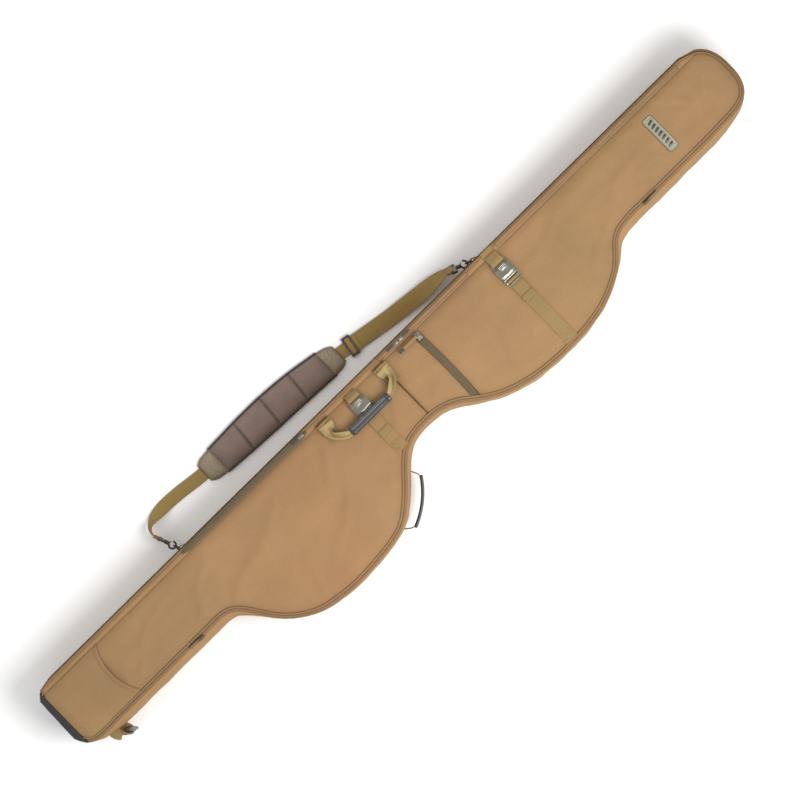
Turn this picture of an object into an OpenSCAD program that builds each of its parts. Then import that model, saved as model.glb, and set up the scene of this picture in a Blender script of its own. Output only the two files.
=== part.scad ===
// Soft rod case with two reel bulges, lying on its back.
// X runs along the case from the moulded base to the top end, +Y is the straight spine side,
// -Y the reel side and +Z comes out of the front. The floor is z = 0.

/* [Body] */
// Height of the tub wall up to the zip shelf
tub_h = 140; // [120:1:160]
// Thickness of the padded tub wall
wall_t = 8; // [6:0.5:9]
// Thickness of the padding in the rear panel
rear_pad_t = 7.5; // [5:0.5:9]
// Thickness of the padded lid board
lid_t = 7; // [5:0.5:9]
// Thickness of the padded outer pocket layer on the lid
pocket_t = 9; // [6:0.5:12]
// Half length of the case, base to top
half_len = 975; // [975:1:980]

/* [Straps] */
// Width of the compression webbing
comp_w = 30; // [25:1:32]
// Thickness of all webbing
web_t = 1.8; // [1.4:0.1:2]
// Width of the shoulder webbing between the lower hook and the slider
strap_low_w = 30; // [25:1:32]
// Width of the shoulder webbing between the slider and the upper hook
strap_up_w = 38; // [34:1:39]
// Thickness of the shoulder pad
pad_t = 17; // [12:1:22]

/* [Handles] */
// Length of the rubber grip on the front handle
grip_l = 110; // [100:1:114]
// Width of the rubber grip on the front handle
grip_w = 17; // [15:1:22]
// Height of the rubber grip on the front handle
grip_h = 11; // [9:1:13]

/* [Hardware] */
// Wire radius of the D rings
ring_wire = 1.8; // [1.6:0.1:1.8]
// Running gap between parts that turn or slide
gap = 0.3; // [0.25:0.05:0.35]

/* [Hidden] */
$fn = 48;

tan_c = [0.64, 0.51, 0.36];
tan2_c = [0.66, 0.53, 0.38];
web_c = [0.60, 0.52, 0.35];
olive_c = [0.56, 0.54, 0.42];
grey_c = [0.36, 0.33, 0.28];
black_c = [0.07, 0.07, 0.08];
lining_c = [0.22, 0.21, 0.19];
mesh_c = [0.46, 0.40, 0.37];
steel_c = [0.55, 0.55, 0.54];
buckle_c = [0.42, 0.42, 0.34];

cap_x = -960;               // where the fabric meets the moulded base
spine_y = 90;               // outer face of the straight spine
shelf_z = tub_h - 8;        // underside of the zip shelf
lid_z = tub_h + 2.5;        // underside of the lid board
skin_z = lid_z + lid_t;     // top of the lid board
front_z = skin_z + 2 + pocket_t;  // front face of the pocket layer

// Widest outline of the case, from the base along the reel side and round the top end.
reel_pts = [[-half_len, -38], [-958, -67], [-925, -83], [-880, -87], [-800, -87], [-700, -87], [-620, -87],
  [-576, -88], [-550, -100], [-520, -134], [-490, -169], [-460, -193], [-425, -211], [-380, -221], [-330, -225],
  [-280, -223], [-225, -217], [-180, -205], [-145, -181], [-110, -148], [-75, -114], [-45, -95], [-10, -88],
  [35, -90], [75, -104], [115, -131], [160, -157], [215, -175], [270, -183], [330, -185], [390, -181],
  [445, -169], [490, -149], [530, -124], [562, -99], [600, -91], [640, -90], [700, -90], [780, -89],
  [845, -88], [902, -83], [943, -69], [967, -42], [half_len, -4], [968, 42], [945, 74], [905, spine_y]];
// How far inside the widest outline the lid edge lies, along the reel side.
lid_in = [[-980, 6], [-958, 7], [-925, 15], [-880, 19], [-570, 20], [-510, 9], [-120, 9], [-60, 12], [60, 12], [130, 9], [510, 9], [575, 20], [880, 17], [925, 12], [955, 8], [980, 8]];

function unit(v) = v / norm(v);
function cr(a, b, c, d, t) = 0.5 * ((2 * b) + (c - a) * t + (2 * a - 5 * b + 4 * c - d) * t * t + (3 * b - a - 3 * c + d) * t * t * t);
function spline(p, n) = [for (i = [0 : len(p) - 2]) for (k = [0 : n - 1])
    cr(p[max(i - 1, 0)], p[i], p[i + 1], p[min(i + 2, len(p) - 1)], k / n)];
reel_line = spline(reel_pts, 2);
outline = concat(reel_line, [[905, spine_y], [-925, spine_y], [-957, 84], [-972, 66]]);

function inset(p, d) = let (n = len(p)) [for (i = [0 : n - 1])
    let (t1 = unit(p[i] - p[(i - 1 + n) % n]), t2 = unit(p[(i + 1) % n] - p[i]),
         n1 = [-t1[1], t1[0]], n2 = [-t2[1], t2[0]], m = unit(n1 + n2))
    p[i] + m * d / max(0.6, m * n1)];
// Lid edge, e further in than the nominal one; on the spine it follows the wall.
function lid_edge(e) = let (p = outline, n = len(p)) [for (i = [0 : n - 1])
    let (t1 = unit(p[i] - p[(i - 1 + n) % n]), t2 = unit(p[(i + 1) % n] - p[i]),
         n1 = [-t1[1], t1[0]], n2 = [-t2[1], t2[0]], m = unit(n1 + n2),
         d = p[i][1] > 60 ? 3 : p[i][1] > 0 ? 3 + (60 - p[i][1]) * 0.085 : lookup(p[i][0], lid_in))
    p[i] + m * (d + e) / max(0.6, m * n1)];

module slab(p, z0, z1) translate([0, 0, z0]) linear_extrude(z1 - z0) polygon(p);
module past_cap(x = cap_x) intersection() {
  children();
  translate([x, -400, -50]) cube([2200, 800, 400]);
}
module not_spine() difference() {
  children();
  translate([-1000, 70, -50]) cube([1905, 60, 400]);
}

// Flat webbing swept along stations [x, y, z, tilt, width]; tilt 0 lies flat, 90 stands on edge.
module ribbon(s, t) {
  n = len(s);
  pts = [for (i = [0 : n - 1]) let (
      c = [s[i][0], s[i][1], s[i][2]],
      a = [s[max(i - 1, 0)][0], s[max(i - 1, 0)][1], s[max(i - 1, 0)][2]],
      b = [s[min(i + 1, n - 1)][0], s[min(i + 1, n - 1)][1], s[min(i + 1, n - 1)][2]],
      tg = unit(b - a), s0 = unit(cross([0, 0, 1], tg)), up = cross(tg, s0),
      w = s0 * cos(s[i][3]) + up * sin(s[i][3]), nn = cross(tg, w), hw = s[i][4] / 2, ht = t / 2)
    each [c + w * hw + nn * ht, c - w * hw + nn * ht, c - w * hw - nn * ht, c + w * hw - nn * ht]];
  sides = [for (i = [0 : n - 2]) for (k = [0 : 3]) let (a = i * 4 + k, b = i * 4 + (k + 1) % 4)
    each [[a, b + 4, b], [a, a + 4, b + 4]]];
  polyhedron(points = pts, faces = concat([[1, 2, 3], [0, 1, 3]], sides, [[4 * n - 2, 4 * n - 3, 4 * n - 4], [4 * n - 1, 4 * n - 2, 4 * n - 4]]), convexity = 6);
}

// Rounded rectangle, built from squares and circles.
module rrect(x, y, r) union() {
  square([x - 2 * r, y], center = true);
  square([x, y - 2 * r], center = true);
  for (sx = [-1, 1]) for (sy = [-1, 1]) translate([sx * (x / 2 - r), sy * (y / 2 - r)]) circle(r);
}

// ---------- tub ----------
module rear_panel() color(tan_c) past_cap() slab(inset(outline, 4), 0, 2);
module rear_foam() color(lining_c) past_cap() slab(inset(outline, wall_t), 2, 2 + rear_pad_t);
module rear_piping() color(tan2_c) past_cap() difference() {
  slab(outline, 0, 4);
  slab(inset(outline, 4), -1, 5);
}
module gusset_ring() past_cap() union() {
  difference() {
    slab(outline, 4, tub_h);
    slab(inset(outline, wall_t), 3, tub_h + 1);
  }
  difference() {
    slab(inset(outline, wall_t - 2), shelf_z, tub_h);
    slab(lid_edge(7), shelf_z - 1, tub_h + 1);
  }
}
module spine_gusset() color(tan_c) intersection() {
  gusset_ring();
  translate([-1000, 60, 0]) cube([1905, 60, 200]);
}
module reel_side_gusset() color(tan2_c) difference() {
  gusset_ring();
  translate([-1000, 60, -1]) cube([1905, 60, 202]);
}
module main_zip_tub_side() color(web_c) past_cap() not_spine() difference() {
  slab(lid_edge(-5), tub_h, tub_h + 2.5);
  slab(lid_edge(-0.5), tub_h - 1, tub_h + 4);
}
// Zip slider with its pull hanging back along -X. Origin under the slider, on the chain.
module zip_slider(l = 15, w = 10, pull = 30, pull_w = 7) {
  translate([-l / 2, -w / 2, 0]) cube([l, w, 4.5]);
  translate([-2.5, -1.6, 4.5]) difference() {
    cube([8, 3.2, 4.5]);
    translate([4, -1, 1.6]) rotate([-90, 0, 0]) cylinder(r = 1.1, h = 6);
  }
  translate([-3.5 - pull, -pull_w / 2, 5.6]) cube([pull, pull_w, 2.6]);
}
zs_low = [-640, -72.4];
zs_up = [650, -75.4];
module main_zip_slider_lower() color(steel_c) translate([zs_low[0], zs_low[1], tub_h + 2.8]) translate([0, -1.3, 0]) zip_slider(15, 7, 26, 6);
module main_zip_slider_upper() color(steel_c) translate([zs_up[0], zs_up[1], tub_h + 2.8]) rotate(180) translate([0, 1.3, 0]) zip_slider(15, 7, 26, 6);
module base_cap() color(black_c) difference() {
  intersection() {
    slab(outline, 0, tub_h + 10);
    translate([-1000, -200, 0]) cube([cap_x + 1000, 400, 200]);
  }
  intersection() {
    slab(inset(outline, 6), 6, tub_h + 4);
    translate([-969, -200, 0]) cube([60, 400, 300]);
  }
  for (k = [0 : 17]) translate([-976, -34 + k * 5.6, -1]) cube([2.2, 2.4, tub_h + 20]);
}
module rod_ties() color(black_c) for (x = [-700, -250, 250, 720]) translate([x, 0, 2 + rear_pad_t]) {
  translate([-12.5, -55, 0]) cube([25, 110, 1.6]);
  translate([-12.5, -55, 1.6]) cube([25, 34, 1.6]);
  translate([-12.5, 15, 1.6]) cube([25, 40, 1.6]);
}
module butt_pocket() color(grey_c) translate([0, 0, 2 + rear_pad_t]) {
  translate([-940, -62, 0]) cube([110, 2, 46]);
  translate([-940, 60, 0]) cube([110, 2, 46]);
  translate([-940, -62, 46]) cube([110, 124, 2]);
  translate([-942, -62, 0]) cube([2, 124, 48]);
}
module tip_pocket() color(grey_c) translate([0, 0, 2 + rear_pad_t]) {
  translate([800, -58, 0]) cube([110, 2, 46]);
  translate([800, 56, 0]) cube([110, 2, 46]);
  translate([800, -58, 46]) cube([110, 116, 2]);
  translate([910, -58, 0]) cube([2, 116, 48]);
}

// ---------- shoulder strap hardware ----------
ring_r = 13;
bar_y = spine_y + 6.4;
up_bar = [312, bar_y, 40];
low_bar = [-556, bar_y, 40];
up_dir = 160;    // direction of pull seen from above
low_dir = 110;
hook_c = 16.3;   // hook ring centre from the bar
eye_x = 35;      // start of the webbing eye
module at_up() translate(up_bar) rotate(up_dir) children();
module at_low() translate(low_bar) rotate(low_dir) children();
module dring_tabs() color(web_c) for (s = [0, 1]) {
  b = s == 0 ? up_bar : low_bar;
  difference() {
    union() {
      translate([b[0], b[1], b[2] - 10]) cylinder(r = 4.6, h = 20);
      translate([b[0], spine_y + 0.6, b[2] - 10]) cube([38, 3.4, 20]);
    }
    translate([b[0], b[1], b[2] - 20]) cylinder(r = ring_wire + 0.08, h = 40);
    translate([b[0] - 20, spine_y - 20, b[2] - 30]) cube([100, 20.6, 60]);
  }
  translate([b[0] + 6, spine_y, b[2] - 10]) cube([32, 0.6, 20]);
}
module dring() {
  translate([0, 0, -ring_r]) cylinder(r = ring_wire, h = 2 * ring_r);
  rotate([90, 0, 0]) rotate([0, 0, -90]) rotate_extrude(angle = 180) translate([ring_r, 0]) circle(ring_wire);
  for (s = [-1, 1]) translate([0, 0, s * ring_r]) sphere(ring_wire);
}
module dring_upper() color(steel_c) at_up() dring();
module dring_lower() color(steel_c) at_low() dring();
module snap_hook() difference() {
  union() {
    translate([hook_c, 0, 0]) rotate(18) rotate_extrude(angle = 262) translate([7.7, 0]) circle(2.2);
    translate([hook_c + 6.4, 0, 0]) rotate([0, 90, 0]) cylinder(r = 4.4, h = 12);
  }
  translate([hook_c + 10.5, 0, 0]) rotate([0, 90, 0]) cylinder(r = 2.3, h = 12);
  translate([hook_c, 0, -10]) cylinder(r = 5.4, h = 20);
  translate([hook_c + 4.5, -6, -1.8]) cube([6.7, 5.5, 3.6]);
}
module snap_hook_upper() color(black_c) at_up() snap_hook();
module snap_hook_lower() color(black_c) at_low() snap_hook();
gate_p = [hook_c + 8.6, -3.0];
module hook_gate() union() {
  translate([gate_p[0], gate_p[1], -1.5]) cylinder(r = 1.1, h = 3);
  translate([gate_p[0], gate_p[1], 0]) rotate(180 + 36) translate([0.4, -0.9, -1.3]) cube([5.4, 1.8, 2.6]);
}
module hook_gate_upper() color(steel_c) at_up() hook_gate();
module hook_gate_lower() color(steel_c) at_low() hook_gate();
// Webbing eye with its swivel post; w is the clear width for the webbing.
module hook_eye(w, tilt) rotate([tilt, 0, 0]) union() {
  translate([hook_c + 11.2, 0, 0]) rotate([0, 90, 0]) cylinder(r = 2.22, h = eye_x - hook_c - 11.2 + 1);
  difference() {
    translate([eye_x, -2.2, -w / 2 - 3.5]) cube([12, 4.4, w + 7]);
    translate([eye_x + 4, -3, -w / 2]) cube([4.4, 6, w]);
  }
}
module hook_eye_upper() color(black_c) at_up() hook_eye(strap_up_w + 2, -25);
module hook_eye_lower() color(black_c) at_low() hook_eye(strap_low_w + 2, 0);

// ---------- shoulder strap ----------
// Route of the lower webbing: x, y, z, tilt, width.
low_start = low_bar + [cos(low_dir), sin(low_dir), 0] * (eye_x + 12.6);
low_mid = low_bar + [cos(low_dir), sin(low_dir), 0] * (eye_x + 19);
low_route = [[low_start[0], low_start[1], 40, 90], [low_mid[0], low_mid[1], 40, 90], [-575, 155, 38, 86], [-574, 162, 34, 78],
  [-570, 169, 28.5, 66], [-563, 175, 22, 52], [-553, 180, 15.5, 38], [-541, 183, 9.5, 24], [-528, 184.5, 5, 12],
  [-514, 184.8, 2.4, 4], [-500, 184.4, 1.6, 0], [-470, 182, 1.6, 0], [-430, 177, 1.6, 0], [-390, 174, 1.6, 0],
  [-340, 172.5, 1.6, 0], [-290, 172, 1.6, 0], [-240, 171, 1.6, 0], [-190, 169.5, 1.6, 0], [-140, 166.5, 1.6, 0],
  [-90, 161.5, 1.6, 0], [-55, 158, 1.6, 0], [-24, 153.9, 1.6, 0], [-9, 151.5, 3.3, 0], [10, 148.4, 3.5, 0], [36, 144.2, 3.5, 0]];
up_start = up_bar + [cos(up_dir), sin(up_dir), 0] * (eye_x + 13.4);
up_mid = up_bar + [cos(up_dir), sin(up_dir), 0] * (eye_x + 20);
up_route = [[up_start[0], up_start[1], 40, 65], [up_mid[0], up_mid[1], 40, 65], [249, 118, 37.5, 56], [235, 120, 33, 44], [218, 121.5, 27.5, 31], [198, 123, 21.5, 19],
  [176, 125, 16, 9], [150, 128, 11.5, 2], [124, 131, 8, 0], [100, 134, 6.2, 0], [80, 137.2, 6, 0], [55, 141.2, 6, 0], [30, 145.2, 6, 0], [10, 148.4, 6, 0], [-2, 150.4, 6, 0]];
module shoulder_strap_lower() color(web_c) ribbon([for (r = low_route) [r[0], r[1], r[2], -r[3], strap_low_w]], web_t);
module shoulder_strap_upper() color(web_c) ribbon([for (r = up_route) [r[0], r[1], r[2], r[3], strap_up_w]], web_t);
pad_line = [[-409, 174.4], [-367, 173], [-320, 172.4], [-270, 171.8], [-220, 170.6], [-165, 168], [-115, 164], [-63, 158.6], [-26, 155]];
pad_half = [[-409, 26], [-395, 30], [-367, 33], [-290, 37], [-217, 38.5], [-140, 37], [-65, 33], [-40, 30], [-26, 26]];
function pad_poly(x0, x1) = let (p = [for (x = [x0 : (x1 - x0) / 12 : x1 + 0.01]) [x, lookup(x, pad_line)]])
  concat([for (q = p) [q[0], q[1] - lookup(q[0], pad_half)]], [for (i = [len(p) - 1 : -1 : 0]) [p[i][0], p[i][1] + lookup(p[i][0], pad_half)]]);
module shoulder_pad() color(mesh_c) slab(pad_poly(-366.5, -63.5), 2.9, 2.9 + pad_t);
module pad_caps() color(olive_c) union() {
  slab(pad_poly(-409, -367), 2.9, 0.9 + pad_t);
  slab(pad_poly(-63, -26), 2.9, 0.9 + pad_t);
}
slide_dir = -9.2;
module strap_slider() color(black_c) translate([4, 149.3, 0.2]) rotate(slide_dir) difference() {
  translate([-10, -23.5, 0]) cube([20, 47, 10]);
  translate([-11, -20.4, 1.6]) cube([22, 40.8, 6.8]);
  translate([-7, -20.4, 5]) cube([4.6, 40.8, 8]);
  translate([2.4, -20.4, 5]) cube([4.6, 40.8, 8]);
}

// ---------- side and base handles ----------
side_a = [-186, -207];
side_b = [-93, -130];
side_t = unit(side_b - side_a);
side_n = [side_t[1], -side_t[0]];
side_m = (side_a + side_b) / 2;
side_ang = atan2(side_t[1], side_t[0]);
side_z = 70;
module at_side() translate([side_m[0], side_m[1], side_z]) rotate(side_ang) children();
side_len = norm(side_b - side_a);
// In the local frame +X runs along the wall and -Y points out.
module side_handle_webbing() color(web_c) at_side() for (s = [-1, 1])
  translate([s * (side_len / 2 - 1) - 1, -17, -17]) cube([2, 13.5, 34]);
side_r = 190;
module side_handle_grip() color(black_c) at_side() intersection() {
  translate([0, side_r - 37, -19]) difference() {
    cylinder(r = side_r, h = 38, $fn = 200);
    translate([0, 0, -1]) cylinder(r = side_r - 8, h = 40, $fn = 200);
  }
  translate([-54, -60, -30]) cube([108, 60, 60]);
}
module base_handle_webbing() color(web_c) difference() {
  for (z = [20, 118]) translate([-936, -108, z]) cube([34, 30, 2]);
  slab(inset(outline, -0.3), 0, tub_h);
}
module base_handle_grip() color(black_c) translate([-897, -104, 30]) rotate(-38) translate([-16, -4, 0]) difference() {
  cube([32, 8, 80]);
  translate([8, -1, -1]) cube([16, 2, 82]);
}

// ---------- divider ----------
div_y = 76;
div_z = 72;
module divider() color(lining_c) intersection() {
  slab(inset(outline, 22), div_z - 4, div_z + 4);
  translate([-940, -400, 0]) cube([1846, 400 + div_y - 4, 300]);
}
module divider_hinge_tape() color(black_c) translate([-900, 0, 0]) union() {
  translate([0, div_y, div_z]) rotate([0, 90, 0]) cylinder(r = 2.5, h = 1790);
  translate([0, div_y, div_z - 1]) cube([1790, spine_y - wall_t - div_y, 2]);
}

// ---------- lid ----------
lid_o = lid_edge(5.5);
// Three boards butted at the ends of the bulges.
module lid_foam() color(lining_c) difference() {
  past_cap(cap_x + 1) slab(lid_o, lid_z, skin_z);
  for (x = [-590, 596]) translate([x, -400, lid_z - 1]) cube([1, 800, lid_t + 2]);
}
module lid_panel() color(tan_c) past_cap(cap_x + 1) slab(lid_edge(5.5), skin_z, skin_z + 2);
module lid_piping() color(tan2_c) past_cap(cap_x + 1) difference() {
  slab(lid_edge(1.5), lid_z, skin_z + 2);
  slab(lid_edge(5.5), lid_z - 1, skin_z + 3);
}
module lid_hinge_tape() color(tan_c) union() {
  translate([-930, spine_y + 0.2, tub_h + 1.2]) rotate([0, 90, 0]) cylinder(r = 0.9, h = 1820);
  translate([-930, spine_y - 6, tub_h + 0.6]) cube([1820, 6.2, 1.2]);
}
module main_zip_lid_side() color(web_c) past_cap(cap_x + 1) not_spine() difference() {
  slab(lid_edge(0), tub_h + 0.3, tub_h + 2.5);
  slab(lid_edge(5), tub_h - 1, tub_h + 4);
}
module pocket_block(x0, x1, z0, z1, e) intersection() {
  slab(lid_edge(e), z0, z1);
  translate([x0, -400, 0]) cube([x1 - x0, 400 + 72, 400]);
}
pz = skin_z + 2;
module lower_pocket() color(tan_c) pocket_block(-806, 19, pz, front_z, 7);
module waist_panel() color(tan2_c) pocket_block(20, 109, pz, front_z, 7);
module sleeve_panel() color(tan_c) pocket_block(127, 990, pz, front_z, 7);
module base_pocket() color(tan2_c) intersection() {
  slab(lid_edge(7), pz, front_z + 2);
  difference() {
    translate([-958, -400, 0]) cube([150, 472, 400]);
    translate([-943, -54, pz - 1]) cube([197, 122, pocket_t + 0.4]);
    translate([-698, 6, 0]) cylinder(r = 124, h = 400, $fn = 96);
  }
}
module waist_zip() color(grey_c) intersection() {
  slab(lid_edge(7), pz, front_z + 1);
  union() {
    translate([110, -400, pz]) cube([16, 466, pocket_t]);
    translate([115, -400, pz]) cube([6, 466, pocket_t + 1]);
  }
}
wz = front_z + 1;
module waist_zip_slider() color(steel_c) translate([118, 56, wz + gap]) rotate(90) union() {
  translate([-8, -5.5, 0]) cube([16, 11, 4]);
  translate([-2, -1.8, 4]) cube([7, 3.6, 3.6]);
  translate([-1, 3, 4.4]) cube([6, 50, 3]);
}
side_zy = 73;
module side_pocket_zip() color(grey_c) union() {
  translate([-546, side_zy, pz]) cube([358, 12, 4]);
  translate([-546, side_zy + 4, pz + 4]) cube([358, 4, 1.2]);
}
module side_slider(x) translate([x, side_zy + 6, pz + 5.2 + gap]) zip_slider(12, 8, 22, 5);
module side_pocket_zip_slider() color(steel_c) side_slider(-200);
module sleeve_zip() color(web_c) union() {
  translate([22, side_zy, pz]) cube([258, 12, 4]);
  translate([22, side_zy + 4, pz + 4]) cube([258, 4, 1.2]);
  translate([362, side_zy, pz]) cube([528, 12, 4]);
  translate([362, side_zy + 4, pz + 4]) cube([528, 4, 1.2]);
}
module sleeve_zip_slider_a() color(black_c) side_slider(74);
module sleeve_zip_slider_b() color(black_c) translate([2 * 80, 0, 0]) translate([0, 2 * (side_zy + 6), 0]) rotate(180) side_slider(72);

// ---------- compression straps ----------
// Local frame: X across the strap, +Y towards the spine, z = 0 on the pocket face.
module buckle_female() difference() {
  linear_extrude(11) translate([0, 20]) rrect(39, 40, 4);
  translate([-15, -1, 2.2]) cube([30, 27, 6.6]);
  for (s = [-1, 1]) translate([s * 17 - 5, 8, 1.6]) cube([10, 11, 7.8]);
  translate([-16, 30, -1]) cube([32, 4, 13]);
}
module buckle_male() union() {
  difference() {
    translate([0, -9.3, 0.4]) linear_extrude(9.6) rrect(39, 17.4, 3);
    translate([-16, -8.5, -1]) cube([32, 3.6, 13]);
    translate([-16, -15.4, -1]) cube([32, 3.6, 13]);
  }
  for (s = [-1, 1]) translate([s * 11.2 - 2.6, -0.7, 3]) cube([5.2, 24, 5]);
  for (s = [-1, 1]) translate([s * 12.4 - 2, 12, 3]) cube([4, 6, 5]);
  translate([-2, -0.7, 3]) cube([4, 18, 5]);
}
cz = front_z + web_t + 0.4;
up_strap = [340, 14];
waist_strap = [-67.5, 23];
module compression_strap(x, y_end, y_b, y_top) union() {
  translate([x - comp_w / 2, y_end, front_z]) cube([comp_w, y_b - 2 - y_end, web_t]);
  translate([x - comp_w / 2, y_b + 41, front_z]) cube([comp_w, y_top - y_b - 41, web_t]);
}
module upper_compression_strap() color(web_c) union() {
  compression_strap(up_strap[0], -170, up_strap[1], 74.1);
  translate([up_strap[0] - 17, 72.3, pz]) cube([34, 1.8, pocket_t + web_t]);
  translate([up_strap[0] - 17, 74, pz]) cube([34, 11.8, web_t]);
}
module upper_buckle_female() color(buckle_c) translate([up_strap[0], up_strap[1], cz]) buckle_female();
module upper_buckle_male() color(buckle_c) translate([up_strap[0], up_strap[1], cz]) buckle_male();
module waist_compression_strap() color(web_c) compression_strap(waist_strap[0], -90, waist_strap[1], 71);
module waist_buckle_female() color(buckle_c) translate([waist_strap[0], waist_strap[1], cz]) buckle_female();
module waist_buckle_male() color(buckle_c) translate([waist_strap[0], waist_strap[1], cz]) buckle_male();

// ---------- front handle ----------
hx = -66;
hinge_y = 66;
hz = front_z + 4.4;
module handle_anchors() color(web_c) for (s = [-1, 1]) difference() {
  union() {
    translate([hx + s * 82 - 19, 20, front_z]) cube([38, 50, web_t]);
    translate([hx + s * 82 - 10, hinge_y, hz]) rotate([0, 90, 0]) cylinder(r = 3.6, h = 20);
  }
  translate([hx + s * 82 - 30, hinge_y, hz]) rotate([0, 90, 0]) cylinder(r = 1.6, h = 60);
}
module handle_webbing() color(web_c) union() for (s = [-1, 1]) {
  translate([hx + s * 82 - 18, hinge_y, hz]) rotate([0, 90, 0]) cylinder(r = 1.5, h = 36);
  for (k = [-1, 1]) translate([hx + s * 82 + k * 14 - 3.5, 41, hz - 1.2]) cube([7, 24.5, 2.4]);
  ribbon(s < 0 ? [[hx - 82, 44.5, hz, 0, 33], [hx - 79, 38, hz + 2.4, 0, 33], [hx - 69, 21, hz + 11, 0, 28], [hx - grip_l / 2 - 6, 11, hz + 16, 0, 19], [hx - grip_l / 2 - 0.4, 11, hz + 16, 0, 17]]
              : [[hx + 82, 44.5, hz, 0, 33], [hx + 79, 38, hz + 2.4, 0, 33], [hx + 69, 21, hz + 11, 0, 28], [hx + grip_l / 2 + 6, 11, hz + 16, 0, 19], [hx + grip_l / 2 + 0.4, 11, hz + 16, 0, 17]], 1.8);
}
module handle_grip() color(black_c) translate([hx - grip_l / 2, 10.6, hz + 16.4]) rotate([90, 0, 90]) linear_extrude(grip_l) union() {
  for (s = [-1, 1]) translate([s * (grip_w / 4), 0]) circle(grip_h / 2);
  square([grip_w / 2, grip_h], center = true);
}
module badge() color(olive_c) translate([767, 4, front_z]) linear_extrude(1.8) rrect(26, 88, 5);

rear_panel();
rear_foam();
rear_piping();
spine_gusset();
reel_side_gusset();
main_zip_tub_side();
main_zip_slider_lower();
main_zip_slider_upper();
base_cap();
rod_ties();
butt_pocket();
tip_pocket();
dring_tabs();
dring_upper();
dring_lower();
hook_eye_upper();
hook_eye_lower();
snap_hook_upper();
snap_hook_lower();
hook_gate_upper();
hook_gate_lower();
shoulder_strap_lower();
shoulder_strap_upper();
shoulder_pad();
pad_caps();
strap_slider();
side_handle_webbing();
side_handle_grip();
base_handle_webbing();
base_handle_grip();
divider();
divider_hinge_tape();
lid_foam();
lid_panel();
lid_piping();
lid_hinge_tape();
main_zip_lid_side();
lower_pocket();
waist_panel();
sleeve_panel();
base_pocket();
waist_zip();
waist_zip_slider();
side_pocket_zip();
side_pocket_zip_slider();
sleeve_zip();
sleeve_zip_slider_a();
sleeve_zip_slider_b();
upper_compression_strap();
upper_buckle_female();
upper_buckle_male();
waist_compression_strap();
waist_buckle_female();
waist_buckle_male();
handle_anchors();
handle_webbing();
handle_grip();
badge();
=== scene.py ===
import math
import bpy
import numpy as np
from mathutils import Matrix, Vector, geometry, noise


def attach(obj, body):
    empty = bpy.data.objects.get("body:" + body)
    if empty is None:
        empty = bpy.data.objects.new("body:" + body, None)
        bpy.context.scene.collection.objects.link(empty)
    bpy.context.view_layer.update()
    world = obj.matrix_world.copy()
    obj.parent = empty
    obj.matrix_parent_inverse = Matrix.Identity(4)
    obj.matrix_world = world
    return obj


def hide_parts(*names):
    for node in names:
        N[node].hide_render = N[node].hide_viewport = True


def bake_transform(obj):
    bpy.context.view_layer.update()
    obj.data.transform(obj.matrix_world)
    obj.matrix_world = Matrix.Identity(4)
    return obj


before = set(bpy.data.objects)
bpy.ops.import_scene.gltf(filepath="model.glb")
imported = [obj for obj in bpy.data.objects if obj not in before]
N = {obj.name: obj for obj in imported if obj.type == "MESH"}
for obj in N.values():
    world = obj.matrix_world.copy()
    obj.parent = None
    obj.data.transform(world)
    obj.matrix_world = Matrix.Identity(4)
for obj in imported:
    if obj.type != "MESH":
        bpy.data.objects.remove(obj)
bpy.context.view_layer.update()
MM = 0.001

# ------------------------------------------------------------------ outline, as in the CAD source (mm)
HALF = 975.0
CAP_X = -960.0
SPINE_Y = 90.0
TUB_H = 140.0
LID_Z = TUB_H + 2.5
PZ = LID_Z + 9.0
FRONT = PZ + 9.0
REEL = [(-HALF, -38), (-958, -67), (-925, -83), (-880, -87), (-800, -87), (-700, -87), (-620, -87),
        (-576, -88), (-550, -100), (-520, -134), (-490, -169), (-460, -193), (-425, -211), (-380, -221), (-330, -225),
        (-280, -223), (-225, -217), (-180, -205), (-145, -181), (-110, -148), (-75, -114), (-45, -95), (-10, -88),
        (35, -90), (75, -104), (115, -131), (160, -157), (215, -175), (270, -183), (330, -185), (390, -181),
        (445, -169), (490, -149), (530, -124), (562, -99), (600, -91), (640, -90), (700, -90), (780, -89),
        (845, -88), (902, -83), (943, -69), (967, -42), (HALF, -4), (968, 42), (945, 74), (905, SPINE_Y)]
LID_IN = [(-980, 6), (-958, 7), (-925, 15), (-880, 19), (-570, 20), (-510, 9), (-120, 9), (-60, 12), (60, 12), (130, 9), (510, 9), (575, 20), (880, 17), (925, 12), (955, 8), (980, 8)]


def cr(a, b, c, d, t):
    return 0.5 * ((2 * b) + (c - a) * t + (2 * a - 5 * b + 4 * c - d) * t * t + (3 * b - a - 3 * c + d) * t ** 3)


def spline(p, n):
    p = [np.array(q, float) for q in p]
    out = []
    for i in range(len(p) - 1):
        for k in range(n):
            out.append(cr(p[max(i - 1, 0)], p[i], p[i + 1], p[min(i + 2, len(p) - 1)], k / n))
    return out


OUT = np.array(spline(REEL, 4) + [np.array(q, float) for q in [(905, SPINE_Y)] + [(x, SPINE_Y) for x in range(880, -925, -25)] + [(-925, SPINE_Y), (-957, 84), (-972, 66)]])


def normals(p):
    a = p - np.roll(p, 1, axis=0)
    b = np.roll(p, -1, axis=0) - p
    a /= np.maximum(np.linalg.norm(a, axis=1, keepdims=True), 1e-9)
    b /= np.maximum(np.linalg.norm(b, axis=1, keepdims=True), 1e-9)
    n1 = np.stack([-a[:, 1], a[:, 0]], 1)
    n2 = np.stack([-b[:, 1], b[:, 0]], 1)
    m = n1 + n2
    m /= np.maximum(np.linalg.norm(m, axis=1, keepdims=True), 1e-9)
    return m, np.maximum(0.6, (m * n1).sum(1))


def inset(p, d):
    m, c = normals(p)
    return p + m * (np.asarray(d) / c)[:, None]


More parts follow.
